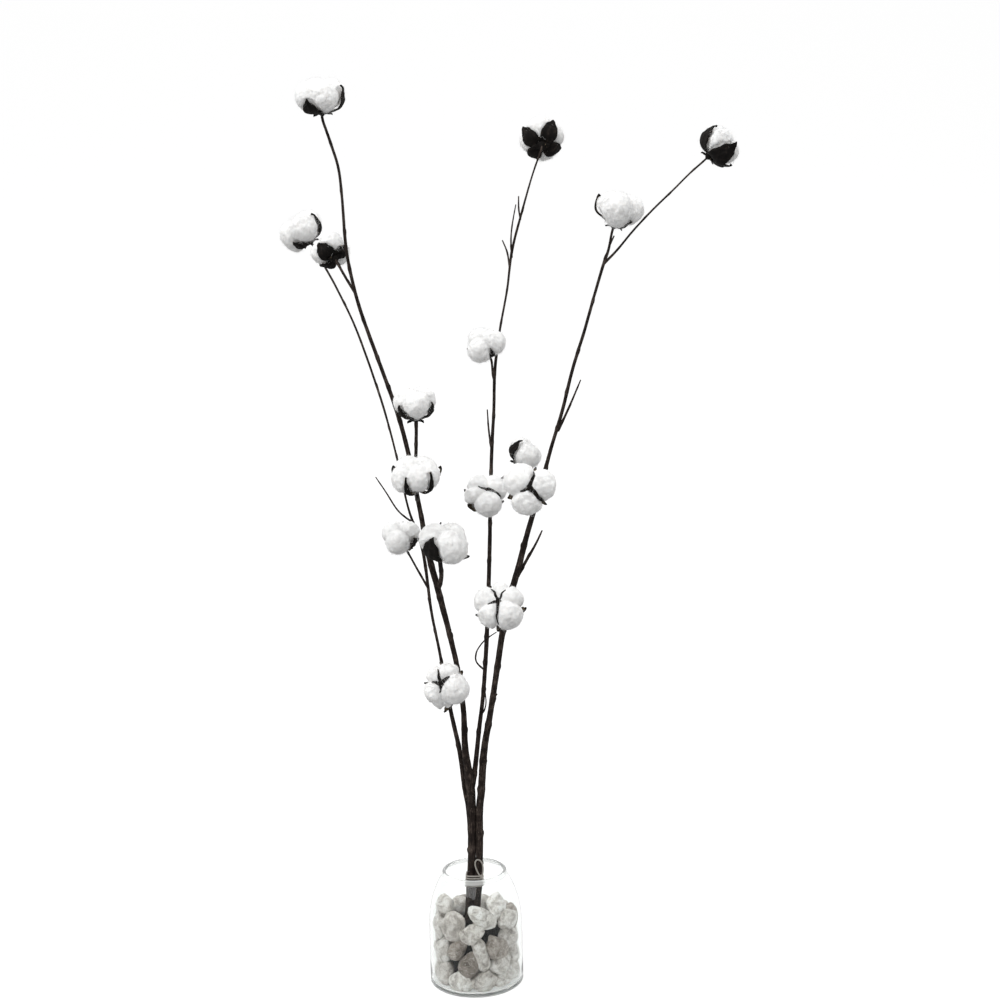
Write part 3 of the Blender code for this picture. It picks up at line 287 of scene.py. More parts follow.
def cotton_material():
    """Raw cotton, not ginned: matt, brilliant white, softly lit from within, with felted fibre."""
    made, add, shader = new_material("raw_cotton_fibre", Roughness=1.0, Subsurface_Weight=0.35,
                                     Subsurface_Scale=0.004, Subsurface_Radius=(1.0, 0.95, 0.9),
                                     Sheen_Weight=0.25, Sheen_Roughness=0.6, Specular_IOR_Level=0.15)
    place = add("TexCoord")
    mottle = add("TexNoise", Vector=(place, "Object"), Scale=per_metre(7), Detail=5.0, Roughness=0.6)
    tint = add("ValToRGB", stops=((0.30, "#dddcdb"), (0.62, "#f0f0ef")), Fac=(mottle, "Fac"))
    swirl = add("TexNoise", Vector=(place, "Object"), Scale=per_metre(5), Detail=2.0)
    drift = add("VectorMath", {"operation": "SCALE"}, Vector=(swirl, "Color"), Scale=0.006)
    moved = add("Mapping", Vector=(place, "Object"), Location=(drift, "Vector"))
    # a single fibre is 0.02 mm wide, too fine to see, so the felt is drawn as strands of about 1 mm
    strands = add("TexNoise", Vector=(moved, "Vector"), Scale=per_metre(0.9), Detail=6.0, Roughness=0.75)
    felt = add("Bump", Height=(strands, "Fac"), Distance=0.0006, Strength=0.8)
    feed(shader, Base_Color=(tint, "Color"), Normal=(felt, "Normal"))
    return made


def bur_material(name, dark, mid, pale, roughness):
    """Dried woody bur valve: fine lengthwise fibres, mottled, with a dull wax on it."""
    made, add, shader = new_material(name, Roughness=roughness, Specular_IOR_Level=0.12)
    place = add("TexCoord")
    blotch = add("TexNoise", Vector=(place, "Object"), Scale=per_metre(4), Detail=5.0, Roughness=0.65)
    colour = add("ValToRGB", stops=((0.32, dark), (0.55, mid), (0.78, pale)), Fac=(blotch, "Fac"))
    grain = add("Mapping", Vector=(place, "UV"), Scale=(1.0, 0.12, 1.0))
    fibre = add("TexNoise", Vector=(grain, "Vector"), Scale=per_metre(0.7), Detail=4.0, Roughness=0.7)
    ribbed = add("Bump", Height=(fibre, "Fac"), Distance=0.0004, Strength=0.7)
    puckered = add("Bump", Height=(blotch, "Fac"), Distance=0.0008, Strength=0.5, Normal=(ribbed, "Normal"))
    feed(shader, Base_Color=(colour, "Color"), Normal=(puckered, "Normal"))
    return made


def bark_material():
    """Dry stem bark: lengthwise streaks, pale lenticels and greyed patches where it has flaked."""
    made, add, shader = new_material("dry_stem_bark", Roughness=0.80, Specular_IOR_Level=0.12)
    place = add("TexCoord")
    along = add("Mapping", Vector=(place, "UV"), Scale=(1.0, 0.06, 1.0))
    streak = add("TexNoise", Vector=(along, "Vector"), Scale=per_metre(0.8), Detail=6.0, Roughness=0.7)
    patch = add("TexNoise", Vector=(place, "Object"), Scale=per_metre(9), Detail=5.0, Roughness=0.7)
    both = add("Mix", Factor=0.45, A=(streak, "Fac"), B=(patch, "Fac"))
    colour = add("ValToRGB", stops=((0.36, "#0c0909"), (0.50, "#221b18"), (0.66, "#5f544d")),
                 Fac=(both, "Result"))
    pores = add("TexVoronoi", Vector=(place, "Object"), Scale=per_metre(3.2))
    spots = add("ValToRGB", stops=((0.10, "#ffffff"), (0.16, "#000000")), Fac=(pores, "Distance"))
    spotted = add("Mix", {"data_type": "RGBA"}, Factor=(spots, "Color"), A=(colour, "Color"),
                  B=linear("#5d544b"))
    ridged = add("Bump", Height=(streak, "Fac"), Distance=0.0006, Strength=0.9)
    pored = add("Bump", Height=(spots, "Color"), Distance=0.0002, Strength=0.6, Normal=(ridged, "Normal"))
    feed(shader, Base_Color=(spotted, "Result"), Normal=(pored, "Normal"))
    return made


def pebble_material():
    """River pebble, dry and unpolished: pale grey to brown, speckled, veined and finely pitted."""
    made, add, shader = new_material("dry_river_pebble", Roughness=0.62, Specular_IOR_Level=0.4)
    multiply = {"data_type": "RGBA", "blend_type": "MULTIPLY"}
    place = add("TexCoord")
    tone = add("Attribute", {"attribute_name": "tone"})
    base = add("ValToRGB", stops=((0.0, "#857c75"), (0.3, "#b8afa8"), (0.5, "#e2deda"), (0.75, "#f4f2ef"),
                                  (1.0, "#fefdfb")), Fac=(tone, "Fac"))
    blotch = add("TexNoise", Vector=(place, "Object"), Scale=per_metre(8), Detail=6.0, Roughness=0.7,
                 Distortion=0.6)
    shade = add("ValToRGB", stops=((0.36, "#7b7169"), (0.46, "#cdc8c3"), (0.58, "#ffffff")),
                Fac=(blotch, "Fac"))
    stained = add("Mix", multiply, Factor=0.75, A=(base, "Color"), B=(shade, "Color"))
    speck = add("TexNoise", Vector=(place, "Object"), Scale=per_metre(0.9), Detail=4.0, Roughness=0.8)
    grit = add("ValToRGB", stops=((0.36, "#6b635b"), (0.46, "#ffffff")), Fac=(speck, "Fac"))
    gritty = add("Mix", multiply, Factor=0.6, A=(stained, "Result"), B=(grit, "Color"))
    warp = add("TexNoise", Vector=(place, "Object"), Scale=per_metre(11), Detail=3.0, Distortion=1.5)
    vein = add("ValToRGB", stops=((0.485, "#000000"), (0.5, "#ffffff"), (0.515, "#000000")),
               Fac=(warp, "Fac"))
    veined = add("Mix", {"data_type": "RGBA"}, Factor=(vein, "Color"), A=(gritty, "Result"),
                 B=linear("#e4e0d8"))
    pits = add("TexVoronoi", Vector=(place, "Object"), Scale=per_metre(1.6))
    pitted = add("Bump", Height=(pits, "Distance"), Distance=0.0004, Strength=0.5)
    rough = add("Bump", Height=(speck, "Fac"), Distance=0.0005, Strength=0.8, Normal=(pitted, "Normal"))
    worn = add("Bump", Height=(blotch, "Fac"), Distance=0.0015, Strength=0.6, Normal=(rough, "Normal"))
    feed(shader, Base_Color=(veined, "Result"), Normal=(worn, "Normal"))
    return made


def glass_material(name, clear, roughness):
    """Pressed glass: polished and very slightly wavy, and where it is less clear, faintly milky."""
    made, add, shader = new_material(name, Base_Color=linear("#fbfdfc"), Roughness=roughness, IOR=1.30,
                                     Transmission_Weight=clear)
    place = add("TexCoord")
    wave = add("TexNoise", Vector=(place, "Object"), Scale=per_metre(22), Detail=1.0)
    wavy = add("Bump", Height=(wave, "Fac"), Distance=0.0004, Strength=0.06)
    feed(shader, Normal=(wavy, "Normal"))
    return made


def foam_material():
    """Dry floral foam: charcoal, matt, with open cells and a little dust."""
    made, add, shader = new_material("dry_floral_foam", Roughness=0.95, Specular_IOR_Level=0.2)
    place = add("TexCoord")
    cells = add("TexVoronoi", Vector=(place, "Object"), Scale=per_metre(0.8))
    colour = add("ValToRGB", stops=((0.0, "#08080a"), (0.6, "#161618"), (1.0, "#232326")),
                 Fac=(cells, "Distance"))
    open_cells = add("Bump", Height=(cells, "Distance"), Distance=0.0006, Strength=1.0)
    feed(shader, Base_Color=(colour, "Color"), Normal=(open_cells, "Normal"))
    return made


def twine_material():
    """Waxed grey jute twine: dull, its plies streaked lighter and darker along the lay."""
    made, add, shader = new_material("grey_jute_twine", Roughness=0.85, Sheen_Weight=0.15,
                                     Specular_IOR_Level=0.25)
    place = add("TexCoord")
    along = add("Mapping", Vector=(place, "UV"), Scale=(1.0, 0.15, 1.0))
    fibre = add("TexNoise", Vector=(along, "Vector"), Scale=per_metre(0.25), Detail=4.0, Roughness=0.7)
    colour = add("ValToRGB", stops=((0.3, "#5f5b55"), (0.5, "#8f8b84"), (0.72, "#bfbbb4")),
                 Fac=(fibre, "Fac"))
    streaks = add("Bump", Height=(fibre, "Fac"), Distance=0.0002, Strength=0.8)
    feed(shader, Base_Color=(colour, "Color"), Normal=(streaks, "Normal"))
    return made


COTTON = cotton_material()
BUR = bur_material("dried_bur_outside", "#070605", "#120f0d", "#302823", 0.75)
LINING = bur_material("dried_bur_lining", "#2a231c", "#5f5240", "#94866a", 0.85)
BARK = bark_material()
STONE = pebble_material()
GLASS = glass_material("pressed_clear_glass", 1.0, 0.0)
# milky at the lip and underneath: painted highlight that keeps both edges pale and soft
PAINTED_HIGHLIGHT_GLASS = glass_material("milky_edge_painted_highlight", 0.70, 0.12)
FOAM = foam_material()
TWINE = twine_material()


# ------------------------------------------------------------------ shaping helpers
def put_in_scene(name, data):
    """A new object in the scene, at the origin."""
    made = bpy.data.objects.new(name, data)
    bpy.context.scene.collection.objects.link(made)
    return made


def make_object(name, work, finishes):
    """Turn a finished mesh into an object."""
    mesh = bpy.data.meshes.new(name)
    work.to_mesh(mesh)
    work.free()
    for finish in finishes:
        mesh.materials.append(finish)
    mesh.shade_smooth()
    return put_in_scene(name, mesh)


def add_piece(name, work, finishes, node):
    """Make a finished mesh a piece on the part, which stands for one of its nodes."""
    piece = make_object(name, work, finishes)
    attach(piece, "root")
    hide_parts(node)


def new_work():
    """An empty mesh to work on, with a layer for how the grain lies."""
    work = bmesh.new()
    work.loops.layers.uv.new("lay")
    return work


def add_outline(work, points):
    """An open line through points, to be spun or swept."""
    verts = [work.verts.new(point) for point in points]
    return verts, [work.edges.new(pair) for pair in zip(verts, verts[1:])]


def faces_of(cells):
    """The faces of a grid's cells, each once and always in the same order."""
    return list(dict.fromkeys(face for v, _, _ in cells for face in v.link_faces))


def any_way(draw):
    """A unit vector in any direction."""
    return Vector([draw.gauss(0, 1) for _ in range(3)]).normalized()


def grid_cells(work, across, along):
    """A flat grid; gives its vertices with their (across, along) places as whole numbers."""
    made = bmesh.ops.create_grid(work, x_segments=across, y_segments=along, size=1.0)
    return [(v, round((v.co.x + 1) * across / 2), round((v.co.y + 1) * along / 2)) for v in made["verts"]]


def smooth_route(route, spacing):
    """Points every spacing or so along a Catmull-Rom curve; each is a position with a radius."""
    points = [Vector(p) for p in route]
    points = [points[0] * 2 - points[1]] + points + [points[-1] * 2 - points[-2]]
    out = []
    for i in range(1, len(points) - 2):
        a, b, c, d = points[i - 1:i + 3]
        steps = max(1, round((c - b).length / spacing))
        for k in range(steps):
            t = k / steps
            out.append(0.5 * (2 * b + (c - a) * t + (2 * a - 5 * b + 4 * c - d) * t * t
                              + (3 * b - a - 3 * c + d) * t ** 3))
    out.append(points[-2])
    return [(p.xyz, p.w) for p in out]


def with_bark(route, spacing):
    """A limb's stations with its bark on."""
    return [(p, radius * BARK_SWELL) for p, radius in smooth_route(route, spacing)]


def carried_axes(points):
    """Across and beside at each point of a path, turned no more than the path turns, and the length."""
    carried = []
    across = None
    length = 0.0
    for i, point in enumerate(points):
        along = (points[min(i + 1, len(points) - 1)] - points[max(i - 1, 0)]).normalized()
        if across is None:
            across = along.orthogonal().normalized()
        across = (across - along * across.dot(along)).normalized()
        if i:
            length += (point - points[i - 1]).length
        carried.append((across, along.cross(across), length))
    return carried


def add_tube(work, stations, sides, relief=None, flat=1.0):
    """Bend a grid into a tube through stations of position and radius, rounded shut at its ends."""
    first, last = stations[0], stations[-1]
    tip = (last[0] - stations[-2][0]).normalized()
    tail = (first[0] - stations[1][0]).normalized()
    stations = ([(first[0] + tail * first[1] * 0.5, 0.0), (first[0] + tail * first[1] * 0.4, first[1] * 0.6)]
                + list(stations)
                + [(last[0] + tip * last[1] * 0.4, last[1] * 0.6), (last[0] + tip * last[1] * 0.5, 0.0)])
    axes = carried_axes([centre for centre, _ in stations])
    girth = 2 * math.pi * max(radius for _, radius in stations)
    lay = work.loops.layers.uv.active
    cells = grid_cells(work, sides, len(stations) - 1)
    for v, k, i in cells:
        centre, radius = stations[i]
        across, beside, length = axes[i]
        for loop in v.link_loops:
            loop[lay].uv = (k / sides * girth, length)
        turn = 2 * math.pi * (k % sides) / sides
        way = math.cos(turn) * across + flat * math.sin(turn) * beside
        v.co = centre + way * radius
        if relief and radius:
            v.co += way * relief(v.co, turn, length, radius)
    bmesh.ops.remove_doubles(work, verts=[v for v, _, _ in cells], dist=0.000002)


def add_hairs(work, count, rooting):
    """Thin loose fibres: a grid cut into strips, each led along a root, a bend and a tip."""
    cells = grid_cells(work, 3, 2 * count - 1)
    rows = {v: i for v, _, i in cells}
    between = [f for f in faces_of(cells) if min(rows[v] for v in f.verts) % 2 == 1]
    bmesh.ops.delete(work, geom=between, context="FACES_ONLY")
    strips = [rooting() for _ in range(count)]
    for v, k, i in cells:
        root, way, lift, side, width = strips[i // 2]
        t = k / 3
        half = width * (0.5 if i % 2 else -0.5) * (1 - 0.75 * t)
        v.co = root + way * t + lift * (t * (1.3 - 0.9 * t)) + side * half


# ------------------------------------------------------------------ bolls
def boll_frame(axis):
    """The boll's own axes: x and y round it, z in the direction in which it opens."""
    up = Vector(axis).normalized()
    side = (Vector((1, 0, 0)) - up * up.x).normalized()
    return Matrix((side, up.cross(side), up)).transposed()


def direction(fall, turn):
    """Unit vector in the boll's own axes: fall from the axis it opens along, turned round it."""
    return Vector((math.sin(fall) * math.cos(turn), math.sin(fall) * math.sin(turn), math.cos(fall)))


def fall_and_turn(way):
    """The two angles of a unit vector, which direction() turns back into it."""
    return math.acos(max(-1.0, min(1.0, way.z))), math.atan2(way.y, way.x)


def lock_lobes(valves, hang, number):
    """Middle direction, reach and radius of the cotton lock between each two valves."""
    draw = random.Random(SEED + 10 * number)
    lobes = []
    turns = sorted(math.radians(valve[0] % 360) for valve in valves)
    for here, after in zip(turns, turns[1:] + [turns[0] + 2 * math.pi]):
        spread = after - here
        turn = 0.5 * (here + after)
        fall = math.radians(hang + draw.uniform(-8, 8))
        reach = 0.47 + draw.uniform(-0.03, 0.04)
        radius = 0.55 * (spread / (0.5 * math.pi)) ** 0.18 + draw.uniform(-0.02, 0.03)
        lobes.append((direction(fall, turn) * reach, radius))
    for turn, fall, reach, radius in HANGING_LOCKS.get(number, []):
        lobes.append((direction(math.radians(fall), math.radians(turn)) * reach, radius))
    return lobes


def cotton_reach(way, lobes):
    """Distance from the boll's middle to the cotton's surface, in boll sizes."""
    total = CORE ** LOCK_BLEND
    for middle, radius in lobes:
        along = middle.dot(way)
        reach = along + math.sqrt(max(along * along - middle.length_squared + radius * radius, 0.0))
        total += max(reach, 0.0) ** LOCK_BLEND
    return total ** (1 / LOCK_BLEND)


def from_valve(fall, turn, valve):
    """How far round, in boll sizes, a direction lies from a valve's middle, and the valve's half width."""
    azimuth, breadth, tip = valve
    away = abs((turn - math.radians(azimuth) + math.pi) % (2 * math.pi) - math.pi) * math.sin(fall)
    part = (ROOT_FALL - fall) / (ROOT_FALL - math.radians(tip))
    width = valve_half_width(part, breadth) if 0 <= part <= 1 else 0.0
    return away, width


def fluffed(way, number, boll, lobes, shift):
    """Cotton surface in metres from the boll's middle: it swells over the edges of narrow valves."""
    size, valves = boll[2:4]
    fall, turn = fall_and_turn(way)
    reach = cotton_reach(way, lobes)
    swell = 1.0
    furrow = 0.0
    for valve in valves:
        away, width = from_valve(fall, turn, valve)
        edge = 0.70 + 0.40 * eased((valve[1] - 0.5) / 0.4)
        swell = min(swell, eased((away - edge * width) / 0.16) if width else 1.0)
        furrow = max(furrow, math.exp(-(away / 0.11) ** 2))
    deep = (0.16 if number in STARS else 0.05) * math.sin(min(fall * 1.4, math.pi / 2))
    if fall > math.radians(150):
        swell *= eased((math.radians(168) - fall) / math.radians(18))
    # lumps about 10 mm apart with tufts of 5 mm on them, over a slow swell
    spot = way * (reach * size) + shift
    lumps = noise.voronoi(spot / 0.0105)[0][0]
    tufts = noise.fractal(spot / 0.0046, 0.9, 2.1, 4)
    broad = noise.noise(spot / 0.016)
    height = reach * size * (1 - deep * furrow)
    return height + swell * (FLUFF * (1 + 0.5 * broad) + 0.0012 * (0.45 - lumps) + 0.0008 * tufts)


def cotton_head(number, boll):
    """The open locks of one boll: a felted white body with loose fibre standing off it."""
    centre, axis, _, valves, hang = boll[:5]
    lobes = lock_lobes(valves, hang, number)
    shift = Vector((number * 0.31, number * 0.17, 0))
    axes = boll_frame(axis)
    middle = Vector(centre)
    work = new_work()
    bmesh.ops.create_icosphere(work, subdivisions=6, radius=1.0)
    for v in work.verts:
        way = v.co.normalized()
        v.co = middle + axes @ (way * fluffed(way, number, boll, lobes, shift))
    draw = random.Random(SEED + 30 * number)

    def rooting():
        """Where one fibre starts, how it runs and lifts, its side and its breadth."""
        while True:
            way = any_way(draw)
            fall, turn = fall_and_turn(way)
            reaches = [from_valve(fall, turn, valve) for valve in valves]
            hidden = any(away < 1.15 * width + 0.05 for away, width in reaches if width)
            in_star = number in STARS and any(away < 0.10 for away, _ in reaches)
            if fall < math.radians(152) and not hidden and (not in_star or draw.random() < 0.25):
                break
        root = way * (fluffed(way, number, boll, lobes, shift) - 0.0004)
        loose = any_way(draw)
        tangent = (loose - way * loose.dot(way)).normalized()
        reach = draw.uniform(0.0022, 0.0056) * (1.8 if draw.random() < 0.04 else 1.0)
        lift = reach * draw.uniform(0.15, 0.65)
        return (middle + axes @ root, axes @ (tangent * reach), axes @ (way * lift),
                axes @ way.cross(tangent), draw.uniform(0.00010, 0.00017))

    add_hairs(work, LOOSE_FIBRES, rooting)
    add_piece(f"cotton_locks_{number:02d}", work, [COTTON], f"cotton_{number:02d}")


def valve_reach(fall, turn, width, lobes):
    """Height of a valve's inner face: over the highest cotton that it crosses."""
    swing = math.asin(min(width / max(math.sin(fall), 0.4), 0.9))
    return max(cotton_reach(direction(fall, turn + s * swing), lobes) for s in (-1, -0.5, 0, 0.5, 1))


def eased(t):
    """A soft step from 0 to 1."""
    t = max(0.0, min(1.0, t))
    return t * t * (3 - 2 * t)


def valve_half_width(part, breadth):
    """Half width of a valve, in boll sizes: a narrow claw, a broad belly and a drawn-out point."""
    stations = [(at, max(full * breadth, 0.10)) for at, full in VALVE_STATIONS]
    stations += [(0.90, 0.09 * max(breadth, 0.6)), (1.0, 0.012)]
    for (low, thin), (high, wide) in zip(stations, stations[1:]):
        if part <= high:
            return thin + (wide - thin) * eased((part - low) / (high - low)) ** 0.9
    return stations[-1][1]


def add_valve(work, place, lobes, size, valve, draw):
    """One dried valve: a cupped, veined blade with a rolled edge and a drawn-out, hooked point."""
    azimuth, breadth, tip = valve
    turn = math.radians(azimuth)
    tip_fall = math.radians(tip)
    across, along = 10, 24
    curl = draw.uniform(0.0026, 0.0044)
    flare = 0.0010 * eased((breadth - 0.6) / 0.4)
    lean = draw.uniform(-0.06, 0.06)
    seed = Vector((draw.uniform(0, 9), draw.uniform(0, 9), 0))
    rows = []
    for i in range(along + 1):
        part = i / along
        near = (max(part - 0.12, 0), part, min(part + 0.12, 1))
        reach = max(valve_reach(ROOT_FALL + (tip_fall - ROOT_FALL) * p, turn,
                                valve_half_width(p, breadth), lobes) for p in near)
        lift = curl * eased((part - 0.72) / 0.28) + flare * math.sin(math.pi * part ** 1.3)
        rows.append((ROOT_FALL + (tip_fall - ROOT_FALL) * part, reach * size + VALVE_CLEAR + lift))
    cells = grid_cells(work, across, along)
    lay = work.loops.layers.uv.active
    for v, k, i in cells:
        part = i / along
        beside = 2 * k / across - 1
        fall, height = rows[i]
        ragged = 1 + 0.08 * noise.noise(seed + Vector((part * 5, beside, 0)))
        width = valve_half_width(part, breadth) * ragged * size
        swing = beside * width / max(height * math.sin(fall), 0.0022)
        vein = 0.00022 * math.cos(beside * 9.4) * math.sin(math.pi * part)
        ridge = 0.0006 * math.exp(-(beside / 0.16) ** 2) * (1 - 0.5 * part)
        edge = 0.0009 * abs(beside) ** 3 * math.sin(math.pi * part) * (flare / 0.0010)
        crumple = 0.0006 * noise.noise(seed + Vector((part * 4, beside * 1.5, 3)))
        turned = turn + swing + lean * part * part
        for loop in v.link_loops:
            loop[lay].uv = (beside * width, part * 0.03)
        v.co = direction(fall, turned) * (height + vein + ridge + edge + crumple)
    faces = faces_of(cells)
    for face in faces:
        face.normal_update()
    if faces[0].normal.dot(faces[0].calc_center_median()) < 0:
        bmesh.ops.reverse_faces(work, faces=faces)
    grown = bmesh.ops.solidify(work, geom=faces, thickness=0.0010)
    shell = set(faces) | {f for f in grown["geom"] if isinstance(f, bmesh.types.BMFace)}
    for face in shell:
        face.normal_update()
        if face.normal.dot(face.calc_center_median()) < 0:
            face.material_index = 1
    for v in {v for face in shell for v in face.verts}:
        v.co = place @ v.co


def add_star_arm(work, place, number, boll, lobes, valve, length, draw):
    """A dark rib in the furrow between two parted locks, thick at the middle of the star."""
    size = boll[2]
    turn = math.radians(valve[0])
    end = math.radians(valve[2]) * length
    thick = STAR_RIBS[number]
    pole = cotton_reach(direction(0, 0), lobes) * size + FLUFF + 0.0004
    arm = [(place @ Vector((0, 0, pole)), 0.0026 * thick)]
    for part in (0.2, 0.45, 0.7, 1.0):
        way = direction(end * part, turn + draw.uniform(-0.08, 0.08))
        rise = FLUFF + 0.0002 - 0.0010 * part
        height = cotton_reach(way, lobes) * size * 0.97 + rise
        arm.append((place @ (way * height), (0.0022 - 0.0017 * part) * thick))
    add_tube(work, smooth_route([(*p, r) for p, r in arm], 0.0010), 8, rough_twig, 0.7)


def bur(number, boll):
    """The dried bur of one boll: valves, the star of ribs, receptacle and bracts."""
    centre, axis, size, valves, hang = boll[:5]
    lobes = lock_lobes(valves, hang, number)
    place = Matrix.Translation(centre) @ boll_frame(axis).to_4x4()
    draw = random.Random(SEED + 20 * number)
    shapes = random.Random(SEED + 40 * number)
    work = new_work()
    for i, valve in enumerate(valves):
        add_valve(work, place, lobes, size, valve, shapes)
        if number in STARS:
            add_star_arm(work, place, number, boll, lobes, valve, STAR_ARMS[number][i], shapes)
    top = -(CORE * size + 0.0009)
    rings = ((0.0012, 0.16 * size), (0.0, 0.22 * size), (-0.0012, 0.23 * size), (-0.0022, 0.17 * size),
             (-0.0030, 0.0022))
    add_tube(work, [(place @ Vector((0, 0, top + z)), r) for z, r in rings], 16, rough_twig)
    for k in range(BRACTS):
        turn = 2 * math.pi * (k + draw.uniform(-0.15, 0.15)) / BRACTS
        length = 0.24 * size + draw.uniform(0.0022, 0.0040)
        add_bract(work, place, turn, top, length, shapes)
    work.normal_update()
    add_piece(f"bur_valves_{number:02d}", work, [BUR, LINING], f"bur_{number:02d}")


def rough_twig(spot, turn, length, radius):
    """Relief of a thin dry part, uneven but without a grain."""
    return radius * 0.16 * noise.noise(spot / 0.0016)


def add_bract(work, place, turn, top, length, draw):
    """A dry, curled, toothed leaf scale under the bur."""
    across, along = 6, 12
    cells = grid_cells(work, across, along)
    seed = Vector((draw.uniform(0, 9), draw.uniform(0, 9), 0))
    out = direction(math.pi / 2, turn)
    side = direction(math.pi / 2, turn + math.pi / 2)
    for v, k, i in cells:
        part = i / along
        beside = 2 * k / across - 1
        teeth = 1 + 0.28 * abs(math.sin(part * 3 * math.pi))
        half = 0.0024 * math.sin(math.pi * min(part * 0.85 + 0.15, 0.999)) ** 0.6 * teeth
        crumple = 0.0007 * noise.noise(seed + Vector((part * 3, beside, 0)))
        drop = -0.0018 - 0.0016 * part * part + 0.0010 * beside * beside + crumple
        v.co = place @ (out * (0.0008 + length * part) + side * (beside * half) + Vector((0, 0, top + drop)))
    faces = faces_of(cells)
    for face in faces:
        face.material_index = 1 if draw.random() < 0.02 else 0
    bmesh.ops.solidify(work, geom=faces, thickness=0.0005)


# ------------------------------------------------------------------ stems
def stalk_end(boll, radius):
    """The last points of a stalk, which meets the bur's underside squarely, just short of it."""
    centre, axis, size = boll[:3]
    back = -Vector(axis).normalized()
    base = Vector(centre) + back * (CORE * size + 0.0042)
    return [(*(base + back * 0.005), radius), (*(base + back * GAP), radius)]


def led_to_boll(route, stem_name, radius, which=0):
    """A stem or branch with the last points that lead it to the boll at its tip."""
    tips = [boll for boll in BOLLS if boll[5] == stem_name and not boll[6]]
    return route + stalk_end(tips[which], radius)


def bark_relief(seed, spacing):
    """Relief of one limb's bark: lengthwise ridges, a finer grain, and swollen nodes with scars."""
    draw = random.Random(seed)
    nodes = []
    spot = draw.uniform(0.4, 0.8) * spacing
    while spot < 1.1:
        nodes.append((spot, draw.uniform(0, 2 * math.pi), draw.uniform(0.6, 1.2)))
        spot += spacing * draw.uniform(0.7, 1.35)

    def relief(point, turn, length, radius):
        ridge = 0.07 * noise.noise(Vector((math.cos(turn) * 2.2, math.sin(turn) * 2.2, length / 0.016)))
        grain = 0.05 * noise.noise(Vector((math.cos(turn) * 6, math.sin(turn) * 6, length / 0.005 + seed)))
        swell = 0.0
        for at, facing, amount in nodes:
            away = (length - at) / 0.0028
            if abs(away) < 3:
                facing_it = 0.5 + 0.5 * math.cos(turn - facing)
                swell += amount * math.exp(-away * away) * (0.10 + 0.22 * facing_it ** 3)
                swell -= 0.16 * math.exp(-((away - 1.1) / 0.35) ** 2) * facing_it ** 4
        return radius * (ridge + grain + swell)
    return relief


def stem(name, trunk, branches, number):
    """A stem with its branches, stalks and bare twigs, each rooted well inside what it grows from."""
    work = new_work()
    add_tube(work, with_bark(trunk, 0.0022), 20, bark_relief(number, 0.038))
    for k, route in enumerate(branches):
        add_tube(work, with_bark(route, 0.0022), 16, bark_relief(number * 10 + k, 0.034))
    for k, boll in enumerate(b for b in BOLLS if b[5] == name and b[6]):
        route = boll[6] + stalk_end(boll, boll[6][-1][3])
        add_tube(work, with_bark(route, 0.0016), 12, bark_relief(number * 20 + k, 0.022))
    for k, (owner, route) in enumerate(TWIGS):
        if owner == name:
            add_tube(work, with_bark(route, 0.0014), 10, bark_relief(number * 30 + k, 0.020))
    bmesh.ops.recalc_face_normals(work, faces=work.faces)
    add_piece("bark_" + name, work, [BARK], name)


def stems():
    """The three stems that stand in the foam; the middle one forks, and the right one branches."""
    stem("left_stem", led_to_boll(LEFT_STEM, "left_stem", 0.0011), [], 1)
    middle = led_to_boll(MIDDLE_BRANCH, "forked_stem", 0.0009, 1)
    stem("forked_stem", led_to_boll(FORKED_STEM, "forked_stem", 0.0012), [middle], 2)
    branch = led_to_boll(RIGHT_BRANCH, "right_branch", 0.0009)
    stem("right_stem", led_to_boll(RIGHT_STEM, "right_stem", 0.0011), [branch], 3)


# ------------------------------------------------------------------ jar
def bezier(corners, t):
    """Point at t on the curve that four corners pull."""
    a, b, c, d = [Vector(p) for p in corners]
    return a * (1 - t) ** 3 + b * 3 * t * (1 - t) ** 2 + c * 3 * t * t * (1 - t) + d * t ** 3


def shoulder_points(inset, steps):
    """Radius and height along the shoulder, moved inwards by inset, bottom to top."""
    points = []
    for i in range(steps + 1):
        t = i / steps
        here = bezier(SHOULDER, t)
        slope = (bezier(SHOULDER, min(t + 0.01, 1)) - bezier(SHOULDER, max(t - 0.01, 0))).normalized()
        points.append((here.x - inset * slope.y, here.y + inset * slope.x))
    return points


def arc_points(centre, radius, start, end, steps):
    """Points on an arc, from one angle to another in degrees."""
    turns = [math.radians(start + (end - start) * i / steps) for i in range(steps + 1)]
    return [(centre[0] + radius * math.cos(a), centre[1] + radius * math.sin(a)) for a in turns]


